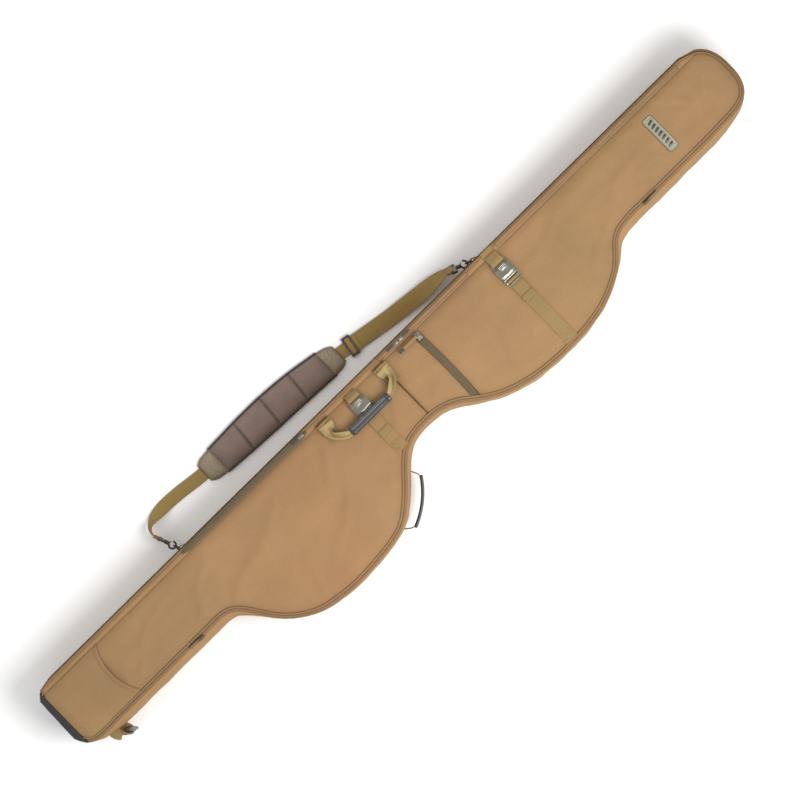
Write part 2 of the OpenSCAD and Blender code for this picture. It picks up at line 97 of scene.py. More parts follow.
def seam_in(p):
    xs, ds = zip(*LID_IN)
    d = np.interp(p[:, 0], xs, ds)
    return np.where(p[:, 1] > 60, 3.0, np.where(p[:, 1] > 0, 3 + (60 - p[:, 1]) * 0.085, d))


def lid_edge(e, p=None):
    p = OUT if p is None else p
    return inset(p, seam_in(p) + e)


def resample(p, step, closed=False):
    p = np.asarray(p, float)
    if closed:
        p = np.vstack([p, p[:1]])
    seg = np.linalg.norm(np.diff(p, axis=0), axis=1)
    keep = np.concatenate([[True], seg > 1e-6])
    p = p[keep]
    seg = np.linalg.norm(np.diff(p, axis=0), axis=1)
    s = np.concatenate([[0], np.cumsum(seg)])
    n = max(2, int(round(s[-1] / step)) + 1)
    t = np.linspace(0, s[-1], n)
    r = np.stack([np.interp(t, s, p[:, k]) for k in range(p.shape[1])], 1)
    return r[:-1] if closed else r


def clip(poly, axis, value, keep_greater):
    out = []
    n = len(poly)
    for i in range(n):
        a, b = poly[i], poly[(i + 1) % n]
        fa = (a[axis] - value) * (1 if keep_greater else -1)
        fb = (b[axis] - value) * (1 if keep_greater else -1)
        if fa >= 0:
            out.append(a)
        if fa * fb < 0:
            out.append(a + (b - a) * (fa / (fa - fb)))
    return np.array(out)


def edge_dist(pts, poly, closed=True):
    poly = np.asarray(poly, float)
    a = poly if closed else poly[:-1]
    b = np.roll(poly, -1, axis=0) if closed else poly[1:]
    best = np.full(len(pts), 1e9)
    for i in range(len(a)):
        ab = b[i] - a[i]
        t = np.clip(((pts - a[i]) @ ab) / max(ab @ ab, 1e-9), 0, 1)
        d = np.linalg.norm(pts - (a[i] + t[:, None] * ab), axis=1)
        best = np.minimum(best, d)
    return best


def inside(pts, poly):
    x, y = pts[:, 0], pts[:, 1]
    r = np.zeros(len(pts), bool)
    a = np.asarray(poly)
    b = np.roll(a, -1, axis=0)
    for i in range(len(a)):
        x1, y1, x2, y2 = a[i][0], a[i][1], b[i][0], b[i][1]
        if y1 == y2:
            continue
        c = ((y1 > y) != (y2 > y)) & (x < (x2 - x1) * (y - y1) / (y2 - y1) + x1)
        r ^= c
    return r


def fbm(pts, scale, seed=0.0, octs=3):
    return np.array([noise.fractal(Vector((p[0] / scale + seed, p[1] / scale - seed, (p[2] / scale if len(p) > 2 else seed))), 1.0, 2.0, octs) for p in pts])


def sstep(x, a, b):
    t = np.clip((x - a) / (b - a), 0, 1)
    return t * t * (3 - 2 * t)


# ------------------------------------------------------------------ materials
def new_mat(name):
    m = bpy.data.materials.new(name)
    m.use_nodes = True
    nt = m.node_tree
    return m, nt, nt.nodes["Principled BSDF"]


def nd(nt, kind, **kw):
    n = nt.nodes.new(kind)
    for k, v in kw.items():
        if k in n.inputs:
            n.inputs[k].default_value = v
        else:
            setattr(n, k, v)
    return n


def math_n(nt, op, a, b=None):
    n = nt.nodes.new("ShaderNodeMath")
    n.operation = op
    for i, v in enumerate((a, b)):
        if v is None:
            continue
        if isinstance(v, (int, float)):
            n.inputs[i].default_value = v
        else:
            nt.links.new(v, n.inputs[i])
    return n.outputs[0]


def ramp(nt, fac, stops):
    r = nt.nodes.new("ShaderNodeValToRGB")
    while len(r.color_ramp.elements) < len(stops):
        r.color_ramp.elements.new(0.5)
    for e, (p, c) in zip(r.color_ramp.elements, stops):
        e.position = p
        e.color = (*c, 1)
    nt.links.new(fac, r.inputs[0])
    return r.outputs[0]


def scaled(c, k):
    return tuple(min(1, v * k) for v in c)


def mix_col(nt, mode, fac, a, b):
    m = nt.nodes.new("ShaderNodeMix")
    m.data_type = "RGBA"
    m.blend_type = mode
    for sock, v in ((m.inputs[0], fac), (m.inputs[6], a), (m.inputs[7], b)):
        if isinstance(v, (int, float)):
            sock.default_value = v
        elif isinstance(v, tuple):
            sock.default_value = (*v, 1)
        else:
            nt.links.new(v, sock)
    return m.outputs[2]


def weave_mat(name, col, pitch=1.1, bump=0.35, rough=0.82, sheen=0.25, vary=0.10, rib=None, obj_coords=False, mottled=None):
    """Woven cloth on a UV map laid out in metres. rib gives the pitch of webbing ribs across the strap."""
    m, nt, b = new_mat(name)
    L = nt.links
    tc = nt.nodes.new("ShaderNodeTexCoord")
    uv = tc.outputs["Object" if obj_coords else "UV"]
    ob = tc.outputs["Object"]
    sep = nt.nodes.new("ShaderNodeSeparateXYZ")
    L.new(uv, sep.inputs[0])
    k = 2 * math.pi / (pitch * MM)
    if rib:
        # herringbone webbing: slanted ribs that turn over on each column
        kr = 2 * math.pi / (rib * MM)
        col_id = math_n(nt, "FLOOR", math_n(nt, "MULTIPLY", sep.outputs[1], 1 / (2.6 * MM)))
        par = math_n(nt, "SUBTRACT", math_n(nt, "MULTIPLY", math_n(nt, "ABSOLUTE", math_n(nt, "MODULO", col_id, 2.0)), 2.0), 1.0)
        slant = math_n(nt, "MULTIPLY", sep.outputs[1], par)
        ph = math_n(nt, "ADD", math_n(nt, "MULTIPLY", sep.outputs[0], kr), math_n(nt, "MULTIPLY", slant, kr * 0.8))
        w1 = math_n(nt, "SINE", ph)
        w2 = math_n(nt, "SINE", math_n(nt, "MULTIPLY", sep.outputs[1], 2 * math.pi / (2.6 * MM)))
        height = math_n(nt, "ADD", math_n(nt, "MULTIPLY", w1, 0.30), math_n(nt, "MULTIPLY", math_n(nt, "ABSOLUTE", w2), 0.5))
    else:
        sx = math_n(nt, "SINE", math_n(nt, "MULTIPLY", sep.outputs[0], k))
        sy = math_n(nt, "SINE", math_n(nt, "MULTIPLY", sep.outputs[1], k))
        height = math_n(nt, "MULTIPLY", math_n(nt, "MULTIPLY", sx, sy), 0.5)
    fib = nd(nt, "ShaderNodeTexNoise", Scale=2600.0, Detail=3.0, Roughness=0.6)
    L.new(ob, fib.inputs["Vector"])
    slub = nd(nt, "ShaderNodeTexNoise", Scale=260.0, Detail=4.0, Roughness=0.65)
    L.new(ob, slub.inputs["Vector"])
    big = nd(nt, "ShaderNodeTexNoise", Scale=5.5, Detail=5.0, Roughness=0.55)
    L.new(ob, big.inputs["Vector"])
    tone = ramp(nt, big.outputs[0], [(0.30, (col[0] * (1 - vary), col[1] * (1 - vary * 0.8), col[2] * (1 - vary * 0.5))), (0.52, col), (0.72, scaled(col, 1 + vary))])
    hue = nd(nt, "ShaderNodeTexNoise", Scale=3.1, Detail=3.0, Roughness=0.5, Distortion=0.6)
    L.new(ob, hue.inputs["Vector"])
    tone = mix_col(nt, "MULTIPLY", 1.0, tone, ramp(nt, hue.outputs[0], [(0.34, (1.035, 0.975, 0.95)), (0.50, (1.0, 1.0, 1.0)), (0.66, (0.965, 0.995, 0.955))]))
    tone = mix_col(nt, "MULTIPLY", 0.35, tone, ramp(nt, slub.outputs[0], [(0.35, (0.80, 0.79, 0.77)), (0.65, (1.0, 1.0, 1.0))]))
    thread = ramp(nt, math_n(nt, "ADD", math_n(nt, "MULTIPLY", height, 0.6), 0.5), [(0.1, (0.78, 0.77, 0.75)), (0.7, (1.0, 1.0, 1.0))])
    tone = mix_col(nt, "MULTIPLY", 0.6, tone, thread)
    if mottled:
        tone = mix_col(nt, "MIX", ramp(nt, slub.outputs[0], [(0.45, (0, 0, 0)), (0.60, (1, 1, 1))]), tone, mottled)
    # painted shade: seams, creases, edges and recesses are darkened towards brown by a vertex value
    at = nt.nodes.new("ShaderNodeAttribute")
    at.attribute_name = "crease_shade"
    tone = mix_col(nt, "MULTIPLY", at.outputs["Fac"], tone, (0.52, 0.385, 0.27))
    L.new(tone, b.inputs["Base Color"])
    r = math_n(nt, "ADD", math_n(nt, "MULTIPLY", slub.outputs[0], 0.16), rough - 0.08)
    L.new(r, b.inputs["Roughness"])
    b.inputs["Sheen Weight"].default_value = sheen * 0.35
    b.inputs["Sheen Roughness"].default_value = 0.5
    b.inputs["Sheen Tint"].default_value = (min(1.0, col[0] * 2.4), min(1.0, col[1] * 2.4), min(1.0, col[2] * 2.4), 1.0)
    b.inputs["Specular IOR Level"].default_value = 0.25
    h = math_n(nt, "ADD", height, math_n(nt, "MULTIPLY", fib.outputs[0], 0.5))
    bp = nd(nt, "ShaderNodeBump", Strength=bump, Distance=0.0004)
    L.new(h, bp.inputs["Height"])
    cr_n = nd(nt, "ShaderNodeTexNoise", Scale=38.0, Detail=4.0, Roughness=0.5)
    L.new(ob, cr_n.inputs["Vector"])
    bp2 = nd(nt, "ShaderNodeBump", Strength=0.22, Distance=0.004)
    L.new(cr_n.outputs[0], bp2.inputs["Height"])
    L.new(bp.outputs[0], bp2.inputs["Normal"])
    L.new(bp2.outputs[0], b.inputs["Normal"])
    return m


def hard_mat(name, col, rough=0.4, metal=0.0, grain=900.0, bump=0.12, edge=0.35, coat=0.0, worn=None):
    m, nt, b = new_mat(name)
    L = nt.links
    tc = nt.nodes.new("ShaderNodeTexCoord")
    ob = tc.outputs["Object"]
    n1 = nd(nt, "ShaderNodeTexNoise", Scale=grain, Detail=3.0, Roughness=0.6)
    n2 = nd(nt, "ShaderNodeTexNoise", Scale=45.0, Detail=5.0, Roughness=0.6)
    L.new(ob, n1.inputs["Vector"])
    L.new(ob, n2.inputs["Vector"])
    geo = nt.nodes.new("ShaderNodeNewGeometry")
    wear = ramp(nt, geo.outputs["Pointiness"], [(0.50, (0, 0, 0)), (0.56, (1, 1, 1))])
    base = ramp(nt, n2.outputs[0], [(0.3, scaled(col, 0.82)), (0.7, scaled(col, 1.15))])
    sep = nt.nodes.new("ShaderNodeSeparateColor")
    L.new(wear, sep.inputs[0])
    w = math_n(nt, "MULTIPLY", math_n(nt, "MULTIPLY", sep.outputs[0], n2.outputs[0]), edge)
    base = mix_col(nt, "MIX", w, base, worn or scaled(col, 2.2))
    L.new(base, b.inputs["Base Color"])
    b.inputs["Metallic"].default_value = metal
    L.new(math_n(nt, "ADD", math_n(nt, "MULTIPLY", n2.outputs[0], 0.22), rough - 0.11), b.inputs["Roughness"])
    b.inputs["Coat Weight"].default_value = coat
    bp = nd(nt, "ShaderNodeBump", Strength=bump, Distance=0.0003)
    L.new(n1.outputs[0], bp.inputs["Height"])
    L.new(bp.outputs[0], b.inputs["Normal"])
    return m


def mesh_mat(name, col):
    """Spacer mesh: round holes in a hexagonal net."""
    m, nt, b = new_mat(name)
    L = nt.links
    tc = nt.nodes.new("ShaderNodeTexCoord")
    vo = nd(nt, "ShaderNodeTexVoronoi", Scale=560.0, Randomness=0.25)
    vo.voronoi_dimensions = "2D"
    L.new(tc.outputs["Object"], vo.inputs["Vector"])
    n2 = nd(nt, "ShaderNodeTexNoise", Scale=30.0, Detail=5.0)
    L.new(tc.outputs["Object"], n2.inputs["Vector"])
    hole = ramp(nt, vo.outputs["Distance"], [(0.18, (0.45, 0.42, 0.40)), (0.42, (1, 1, 1))])
    base = ramp(nt, n2.outputs[0], [(0.3, scaled(col, 0.88)), (0.7, scaled(col, 1.1))])
    base = mix_col(nt, "MULTIPLY", 0.8, base, hole)
    # painted shade: the pad's channels and edges are darkened by the per-vertex shade value
    at = nt.nodes.new("ShaderNodeAttribute")
    at.attribute_name = "crease_shade"
    base = mix_col(nt, "MULTIPLY", at.outputs["Fac"], base, (0.35, 0.31, 0.29))
    L.new(base, b.inputs["Base Color"])
    b.inputs["Roughness"].default_value = 0.85
    b.inputs["Sheen Weight"].default_value = 0.4
    bp = nd(nt, "ShaderNodeBump", Strength=0.7, Distance=0.0008)
    L.new(vo.outputs["Distance"], bp.inputs["Height"])
    L.new(bp.outputs[0], b.inputs["Normal"])
    return m


C_MAIN = (0.288, 0.169, 0.079)
C_GUS = (0.338, 0.196, 0.090)
C_WEB = (0.250, 0.163, 0.067)
C_SHW = (0.275, 0.186, 0.062)
M = {
    "canvas": weave_mat("canvas_main", C_MAIN),
    "gusset": weave_mat("canvas_gusset", C_GUS),
    "piping": weave_mat("piping_cloth", scaled(C_MAIN, 0.88), pitch=1.0),
    "web": weave_mat("webbing_tan", C_WEB, rib=2.0, bump=0.7),
    "shweb": weave_mat("webbing_shoulder", C_SHW, rib=2.0, bump=0.7),
    # painted light: a paler copy of the webbing for the upward faces of the folded handle legs
    "web_lit": weave_mat("webbing_lit_pale", (0.375, 0.275, 0.128), rib=2.0, bump=0.6),
    "cap": weave_mat("pad_cap_cloth", (0.232, 0.186, 0.128), pitch=1.4, bump=0.6, mottled=(0.262, 0.216, 0.150)),
    "ziptape": weave_mat("zip_tape_tan", scaled(C_MAIN, 0.80), pitch=0.8),
    "zipgrey": weave_mat("zip_tape_grey", (0.122, 0.090, 0.046), pitch=0.8),
    "lining": weave_mat("lining_dark", (0.050, 0.046, 0.040), pitch=0.9, sheen=0.15),
    "strapblack": weave_mat("loop_tape_black", (0.018, 0.018, 0.019), pitch=1.2, bump=0.7),
    "thread": hard_mat("thread_tan", (0.30, 0.185, 0.092), rough=0.6, grain=3000, bump=0.4),
    "threadweb": hard_mat("thread_olive", (0.205, 0.145, 0.062), rough=0.6, grain=3000, bump=0.4),
    "threaddark": hard_mat("thread_dark", (0.05, 0.045, 0.04), rough=0.6, grain=3000, bump=0.4),
    "mesh": mesh_mat("air_mesh", (0.183, 0.125, 0.0975)),
    "binding": weave_mat("binding_dark", (0.060, 0.048, 0.040), pitch=0.9),
    "rubber": hard_mat("rubber_black", (0.0085, 0.0095, 0.0135), rough=0.36, grain=1400, bump=0.4, edge=0.5, coat=0.25, worn=(0.06, 0.065, 0.085)),
    "bronze": hard_mat("zip_bronze", (0.110, 0.078, 0.042), rough=0.46, metal=0.6, grain=1200, bump=0.2, edge=0.5, worn=(0.30, 0.22, 0.13)),
    "pulltan": hard_mat("pull_tan", (0.150, 0.098, 0.048), rough=0.6, grain=1100, bump=0.4, edge=0.4),
    "rubbercap": hard_mat("rubber_charcoal", (0.0075, 0.0085, 0.010), rough=0.58, grain=900, bump=0.6, edge=0.6, worn=(0.13, 0.13, 0.13)),
    "buckle": hard_mat("buckle_plastic", (0.080, 0.074, 0.044), rough=0.24, grain=700, bump=0.10, edge=0.8, coat=0.7, worn=(0.55, 0.53, 0.42)),
    "blackpl": hard_mat("hook_black", (0.012, 0.012, 0.013), rough=0.28, grain=800, bump=0.1, edge=0.5, coat=0.2, worn=(0.12, 0.12, 0.12)),
    "metal": hard_mat("ring_metal", (0.045, 0.045, 0.047), rough=0.30, metal=0.9, grain=1200, bump=0.08, edge=0.6, worn=(0.4, 0.4, 0.4)),
    "zipmetal": hard_mat("zip_metal", (0.16, 0.15, 0.13), rough=0.34, metal=0.9, grain=1200, bump=0.1, edge=0.5, worn=(0.5, 0.48, 0.42)),
    "teeth": hard_mat("zip_teeth_tan", (0.27, 0.165, 0.082), rough=0.45, grain=1500, bump=0.1, edge=0.2),
    "teethgrey": hard_mat("zip_teeth_grey", (0.085, 0.070, 0.043), rough=0.42, grain=1500, bump=0.1, edge=0.3),
    "badge": hard_mat("badge_rubber", (0.235, 0.212, 0.142), rough=0.45, grain=900, bump=0.25, edge=0.4, worn=(0.5, 0.48, 0.38)),
    "badgerim": hard_mat("badge_rim", (0.075, 0.078, 0.058), rough=0.42, grain=900, bump=0.25, edge=0.4),
}


# ------------------------------------------------------------------ mesh helpers
def make(name, verts, faces, mats, body, uv=None, crease_shade=None, face_mat=None, smooth=True, replaces=(), slot=None):
    me = bpy.data.meshes.new(name)
    me.from_pydata([tuple(float(c) * MM for c in v) for v in verts], [], [tuple(int(i) for i in f) for f in faces])
    mats = mats if isinstance(mats, (list, tuple)) else [mats]
    for m in mats:
        me.materials.append(M[m] if isinstance(m, str) else m)
    if face_mat is not None:
        me.polygons.foreach_set("material_index", np.asarray(face_mat, np.int32))
    me.polygons.foreach_set("use_smooth", np.full(len(me.polygons), smooth, bool))
    if uv is not None:
        lay = me.uv_layers.new(name="metres")
        vi = np.zeros(len(me.loops), np.int32)
        me.loops.foreach_get("vertex_index", vi)
        lay.data.foreach_set("uv", (np.asarray(uv, float)[vi] * MM).ravel())
    # per-vertex painted shade, read by the cloth materials
    a = me.attributes.new("crease_shade", "FLOAT", "POINT")
    a.data.foreach_set("value", np.asarray(crease_shade if crease_shade is not None else np.zeros(len(verts)), float))
    me.validate()
    me.update()
    ob = bpy.data.objects.new(name, me)
    bpy.context.scene.collection.objects.link(ob)
    if body:
        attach(ob, body)
    if replaces:
        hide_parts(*replaces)
    return ob


def triangulate(poly, step, margin=None, ring=None):
    """Boundary points first, then inner points on a staggered grid. Returns points, triangles, boundary count."""
    b = resample(poly, step, closed=True)
    lo, hi = b.min(0), b.max(0)
    ys = np.arange(lo[1] + step * 0.4, hi[1], step * 0.9)
    pts = []
    for j, y in enumerate(ys):
        xs = np.arange(lo[0] + (0.5 * step if j % 2 else 0), hi[0], step)
        pts.append(np.stack([xs, np.full(len(xs), y)], 1))
    pts = np.vstack(pts)
    pts = pts[inside(pts, b)]
    rings = []
    if ring:
        nrm, cc = normals(b)
        area2 = float(np.sum(b[:, 0] * np.roll(b[:, 1], -1) - b[:, 1] * np.roll(b[:, 0], -1)))
        sg = 1.0 if area2 > 0 else -1.0
        for d_ in ring:
            r_ = b + sg * nrm * d_
            r_ = r_[inside(r_, b)]
            r_ = r_[edge_dist(r_, b) > d_ * 0.9]
            rings.append(r_)
        pts = pts[edge_dist(pts, b) > ring[-1] + step * 0.5]
    else:
        pts = pts[edge_dist(pts, b) > (margin or step * 0.55)]
    allp = np.vstack([b] + rings + [pts])
    nb = len(b)
    edges = [(i, (i + 1) % nb) for i in range(nb)]
    r = geometry.delaunay_2d_cdt([Vector(p) for p in allp], edges, [], 1, 1e-4)
    v = np.array([tuple(q) for q in r[0]])
    orig = r[3]
    order = [o[0] if o else -1 for o in orig]
    if sorted(order) != list(range(len(allp))):
        # keep the boundary first whatever the triangulation returned
        isb = np.array([bool(o) and min(o) < nb for o in orig])
    else:
        isb = np.array([o < nb for o in order])
    return v, [tuple(f) for f in r[2]], isb


def slab(name, poly, top, bot, step, mats, body, replaces=(), slot=None, crease_shade=None, bottom_mat=0, ring=None, uv_off=(0, 0)):
    """Closed soft slab: top(p, d) and bot(p, d) give heights from the distance d to the edge; they meet at the rim."""
    v, tris, isb = triangulate(poly, step, ring=ring)
    d = edge_dist(v, resample(poly, step, closed=True))
    d[isb] = 0
    zt = top(v, d)
    zb = bot(v, d)
    rimz = (zt + zb) / 2
    zt = np.where(isb, rimz, zt)
    n = len(v)
    verts = [(*v[i], zt[i]) for i in range(n)]
    idx = {}
    for i in range(n):
        if isb[i]:
            idx[i] = i
        else:
            idx[i] = len(verts)
            verts.append((*v[i], zb[i]))
    faces = [f if cross2(v, f) > 0 else f[::-1] for f in tris]
    low = [tuple(idx[i] for i in reversed(f)) for f in faces]
    uv = [(p[0] + uv_off[0], p[1] + uv_off[1]) for p in verts]
    cz = crease_shade(v, d) if crease_shade else np.zeros(n)
    cz_all = np.zeros(len(verts))
    cz_all[:n] = cz
    fm = [0] * len(faces) + [bottom_mat] * len(low)
    return make(name, verts, faces + low, mats, body, uv=uv, crease_shade=cz_all, face_mat=fm, replaces=replaces, slot=slot)


def cross2(v, f):
    a, b, c = v[f[0]], v[f[1]], v[f[2]]
    return (b[0] - a[0]) * (c[1] - a[1]) - (b[1] - a[1]) * (c[0] - a[0])


def frames(path):
    """Tangents of an open 3-D path."""
    path = np.asarray(path, float)
    t = np.gradient(path, axis=0)
    t /= np.maximum(np.linalg.norm(t, axis=1, keepdims=True), 1e-9)
    return t


def sweep(name, path, side, up, section, mats, body, closed_sec=True, cap=True, **kw):
    """section(i) gives (n,2) points in the side/up plane at station i."""
    path = np.asarray(path, float)
    verts, uv, cre = [], [], []
    seg = np.concatenate([[0], np.cumsum(np.linalg.norm(np.diff(path, axis=0), axis=1))])
    ns = None
    for i, p in enumerate(path):
        sec = np.asarray(section(i), float)
        ns = len(sec)
        w = np.concatenate([[0], np.cumsum(np.linalg.norm(np.diff(sec, axis=0), axis=1))])
        for k, q in enumerate(sec):
            verts.append(p + side[i] * q[0] + up[i] * q[1])
            uv.append((seg[i], w[k]))
            cre.append(0)
    faces = []
    for i in range(len(path) - 1):
        for k in range(ns if closed_sec else ns - 1):
            a, b = i * ns + k, i * ns + (k + 1) % ns
            faces.append((a, b, b + ns, a + ns))
    if cap and closed_sec:
        faces.append(tuple(reversed(range(ns))))
        faces.append(tuple(range((len(path) - 1) * ns, len(path) * ns)))
    return make(name, verts, faces, mats, body, uv=uv, crease_shade=cre, **kw)


def sweep_data(path, side, up, section, cap=True):
    path = np.asarray(path, float)
    verts, uv, faces = [], [], []
    seg = np.concatenate([[0], np.cumsum(np.linalg.norm(np.diff(path, axis=0), axis=1))])
    ns = None
    for i, p in enumerate(path):
        sec = np.asarray(section(i), float)
        ns = len(sec)
        w = sec[:, 0]
        for k, q in enumerate(sec):
            verts.append(p + side[i] * q[0] + up[i] * q[1])
            uv.append((seg[i], w[k]))
    for i in range(len(path) - 1):
        for k in range(ns):
            a, b = i * ns + k, i * ns + (k + 1) % ns
            faces.append((a, b, b + ns, a + ns))
    if cap:
        faces.append(tuple(reversed(range(ns))))
        faces.append(tuple(range((len(path) - 1) * ns, len(path) * ns)))
    return verts, faces, uv


class Bag:
    """Collects several small solids into one mesh."""
    def __init__(self):
        self.v, self.f, self.u, self.m = [], [], [], []

    def add(self, data, mat=0):
        v, f, u = data
        o = len(self.v)
        self.v += [tuple(q) for q in v]
        self.f += [tuple(i + o for i in q) for q in f]
        self.u += list(u)
        self.m += [mat] * len(f)
        return self

    def make(self, name, mats, body, **kw):
        return make(name, self.v, self.f, mats, body, uv=self.u, face_mat=self.m, **kw)


def web_section(w, t):
    """Webbing: flat with thick woven selvedges."""
    h = t / 2
    return [(-w / 2, -h * 0.55), (-w / 2 + 0.5, -h), (-w / 2 + 2.4, -h * 1.12), (-w / 2 + 3.4, -h * 0.86), (0, -h * 0.9), (w / 2 - 3.4, -h * 0.86), (w / 2 - 2.4, -h * 1.12), (w / 2 - 0.5, -h), (w / 2, -h * 0.55),
            (w / 2, h * 0.55), (w / 2 - 0.5, h), (w / 2 - 2.4, h * 1.12), (w / 2 - 3.4, h * 0.86), (0, h * 0.9), (-w / 2 + 3.4, h * 0.86), (-w / 2 + 2.4, h * 1.12), (-w / 2 + 0.5, h), (-w / 2, h * 0.55)]


def ribbon_data(path, width, t=1.7, tilt=None, side=None):
    """Webbing along a path. tilt in degrees turns the flat about the path; side may be given instead."""
    path = np.asarray(path, float)
    n = len(path)
    tg = frames(path)
    W = np.broadcast_to(np.asarray(width, float), (n,))
    if side is None:
        s0 = np.cross([0, 0, 1.0], tg)
        s0 /= np.maximum(np.linalg.norm(s0, axis=1, keepdims=True), 1e-9)
        u0 = np.cross(tg, s0)
        a = np.radians(np.broadcast_to(np.asarray(tilt if tilt is not None else 0.0, float), (n,)))[:, None]
        side = s0 * np.cos(a) + u0 * np.sin(a)
    else:
        side = np.asarray(side, float)
        side = np.broadcast_to(side, (n, 3)).copy()
        side -= tg * (side * tg).sum(1)[:, None]
        side /= np.linalg.norm(side, axis=1, keepdims=True)
    up = np.cross(tg, side)
    v, f, u = sweep_data(path, side, up, lambda i: web_section(W[i], t))
    u = [(a, b + 100) for a, b in u]
    return v, f, u


def stitch_data(path, pitch=3.6, length=2.5, r=0.42, up=(0, 0, 1), lift=0.1):
    """Running stitches: short rounded threads sunk at both ends."""
    path = np.asarray(path, float)
    seg = np.concatenate([[0], np.cumsum(np.linalg.norm(np.diff(path, axis=0), axis=1))])
    L = seg[-1]
    k = max(1, int(L / pitch))
    verts, faces, uv = [], [], []
    ups = np.asarray(up, float)
    c = (np.arange(k) + 0.5) * (L / k)

    def at(t):
        return np.array([np.interp(t, seg, path[:, j]) for j in range(3)])
    for t in c:
        a, b = at(t - length / 2), at(t + length / 2)
        m = at(t)
        d = b - a
        ln = np.linalg.norm(d)
        if ln < 1e-6:
            continue
        d /= ln
        u = ups if ups.ndim == 1 else ups[min(len(ups) - 1, int(np.searchsorted(seg, t)))]
        s = np.cross(d, u)
        s /= max(np.linalg.norm(s), 1e-9)
        uu = np.cross(s, d)
        o = len(verts)
        for q, rr, h in ((a, r * 0.45, -r * 0.6), (m - d * length * 0.28, r, lift), (m + d * length * 0.28, r, lift), (b, r * 0.45, -r * 0.6)):
            for ang in (45, 135, 225, 315):
                verts.append(q + s * rr * math.cos(math.radians(ang)) * 1.2 + uu * (rr * math.sin(math.radians(ang)) + h))
                uv.append((t, ang / 90))
        for i in range(3):
            for j in range(4):
                p, q2 = o + i * 4 + j, o + i * 4 + (j + 1) % 4
                faces.append((p, q2, q2 + 4, p + 4))
        faces.append((o + 3, o + 2, o + 1, o))
        faces.append((o + 12, o + 13, o + 14, o + 15))
    return verts, faces, uv


def soften(node, name, voxel, mats, body, smooth=4, pick=None, replaces=True, shape=None):
    """A moulded version of a hard CAD piece: same size, rounded edges."""
    src = N[node]
    me = src.data.copy()
    me.materials.clear()
    ob = bpy.data.objects.new(name, me)
    bpy.context.scene.collection.objects.link(ob)
    r = ob.modifiers.new("r", "REMESH")
    r.mode = "VOXEL"
    r.voxel_size = voxel * MM
    s = ob.modifiers.new("s", "SMOOTH")
    s.factor = 0.5
    s.iterations = smooth
    dg = bpy.context.evaluated_depsgraph_get()
    new = bpy.data.meshes.new_from_object(ob.evaluated_get(dg))
    ob.modifiers.clear()
    ob.data = new
    new.materials.clear()
    for m in (mats if isinstance(mats, (list, tuple)) else [mats]):
        new.materials.append(M[m])
    if shape:
        co = np.zeros(len(new.vertices) * 3)
        new.vertices.foreach_get("co", co)
        co = shape(co.reshape(-1, 3) / MM) * MM
        new.vertices.foreach_set("co", co.ravel())
        new.update()
    if pick:
        co = np.zeros(len(new.polygons) * 3)
        new.polygons.foreach_get("center", co)
        co = co.reshape(-1, 3) / MM
        new.polygons.foreach_set("material_index", np.array([pick(c) for c in co], np.int32))
    new.polygons.foreach_set("use_smooth", np.ones(len(new.polygons), bool))
    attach(ob, body)
    if replaces:
        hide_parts(node)
    return ob


# ------------------------------------------------------------------ the front surface of the lid
LID_OUT = resample(lid_edge(5.0), 8, closed=True)
LID_FINE = lid_edge(5.0)
SEAM_X = 20.0
WZ_X = 118.0
SPINE_SEAM = 71.5


def waist_zip_x(y):
    """The waist zip bows a little towards the top end between its ends."""
    t = np.clip((np.asarray(y, float) + 115) / 175, 0, 1)
    return WZ_X - 1.5 + 2.6 * np.sin(math.pi * t)


def gauss(d, w):
    return np.exp(-(d / w) ** 2)


FOLDS = [(905, 20, 62, 52, 7.0, 1.5), (868, -20, 75, 44, 6.0, 1.2), (838, 26, 128, 46, 6.5, 1.1), (640, -8, 20, 90, 9.0, 1.3),
         (560, -52, 34, 84, 9.0, 1.6), (470, -112, 52, 70, 8.0, 1.4), (455, 20, 12, 120, 11.0, 1.6), (240, -70, 74, 70, 9.0, 1.6), (196, 10, 118, 60, 8.0, 1.4),
         (-20, -20, 60, 44, 6.0, 1.3), (-30, 30, 148, 40, 6.0, 1.1), (-108, 2, 100, 50, 6.5, 1.5), (-200, 10, 62, 60, 8.0, 1.6),
         (-250, -100, 38, 100, 10.0, 1.7), (-380, -150, 64, 60, 9.0, 1.4), (-420, -20, 22, 110, 11.0, 1.7), (-560, 6, 46, 70, 9.0, 1.8),
         (-600, -38, 26, 80, 7.0, 1.3), (-700, 20, 12, 110, 9.0, 1.3), (-770, -30, 30, 60, 7.0, 1.3), (-850, 20, 36, 60, 8.0, 1.2)]


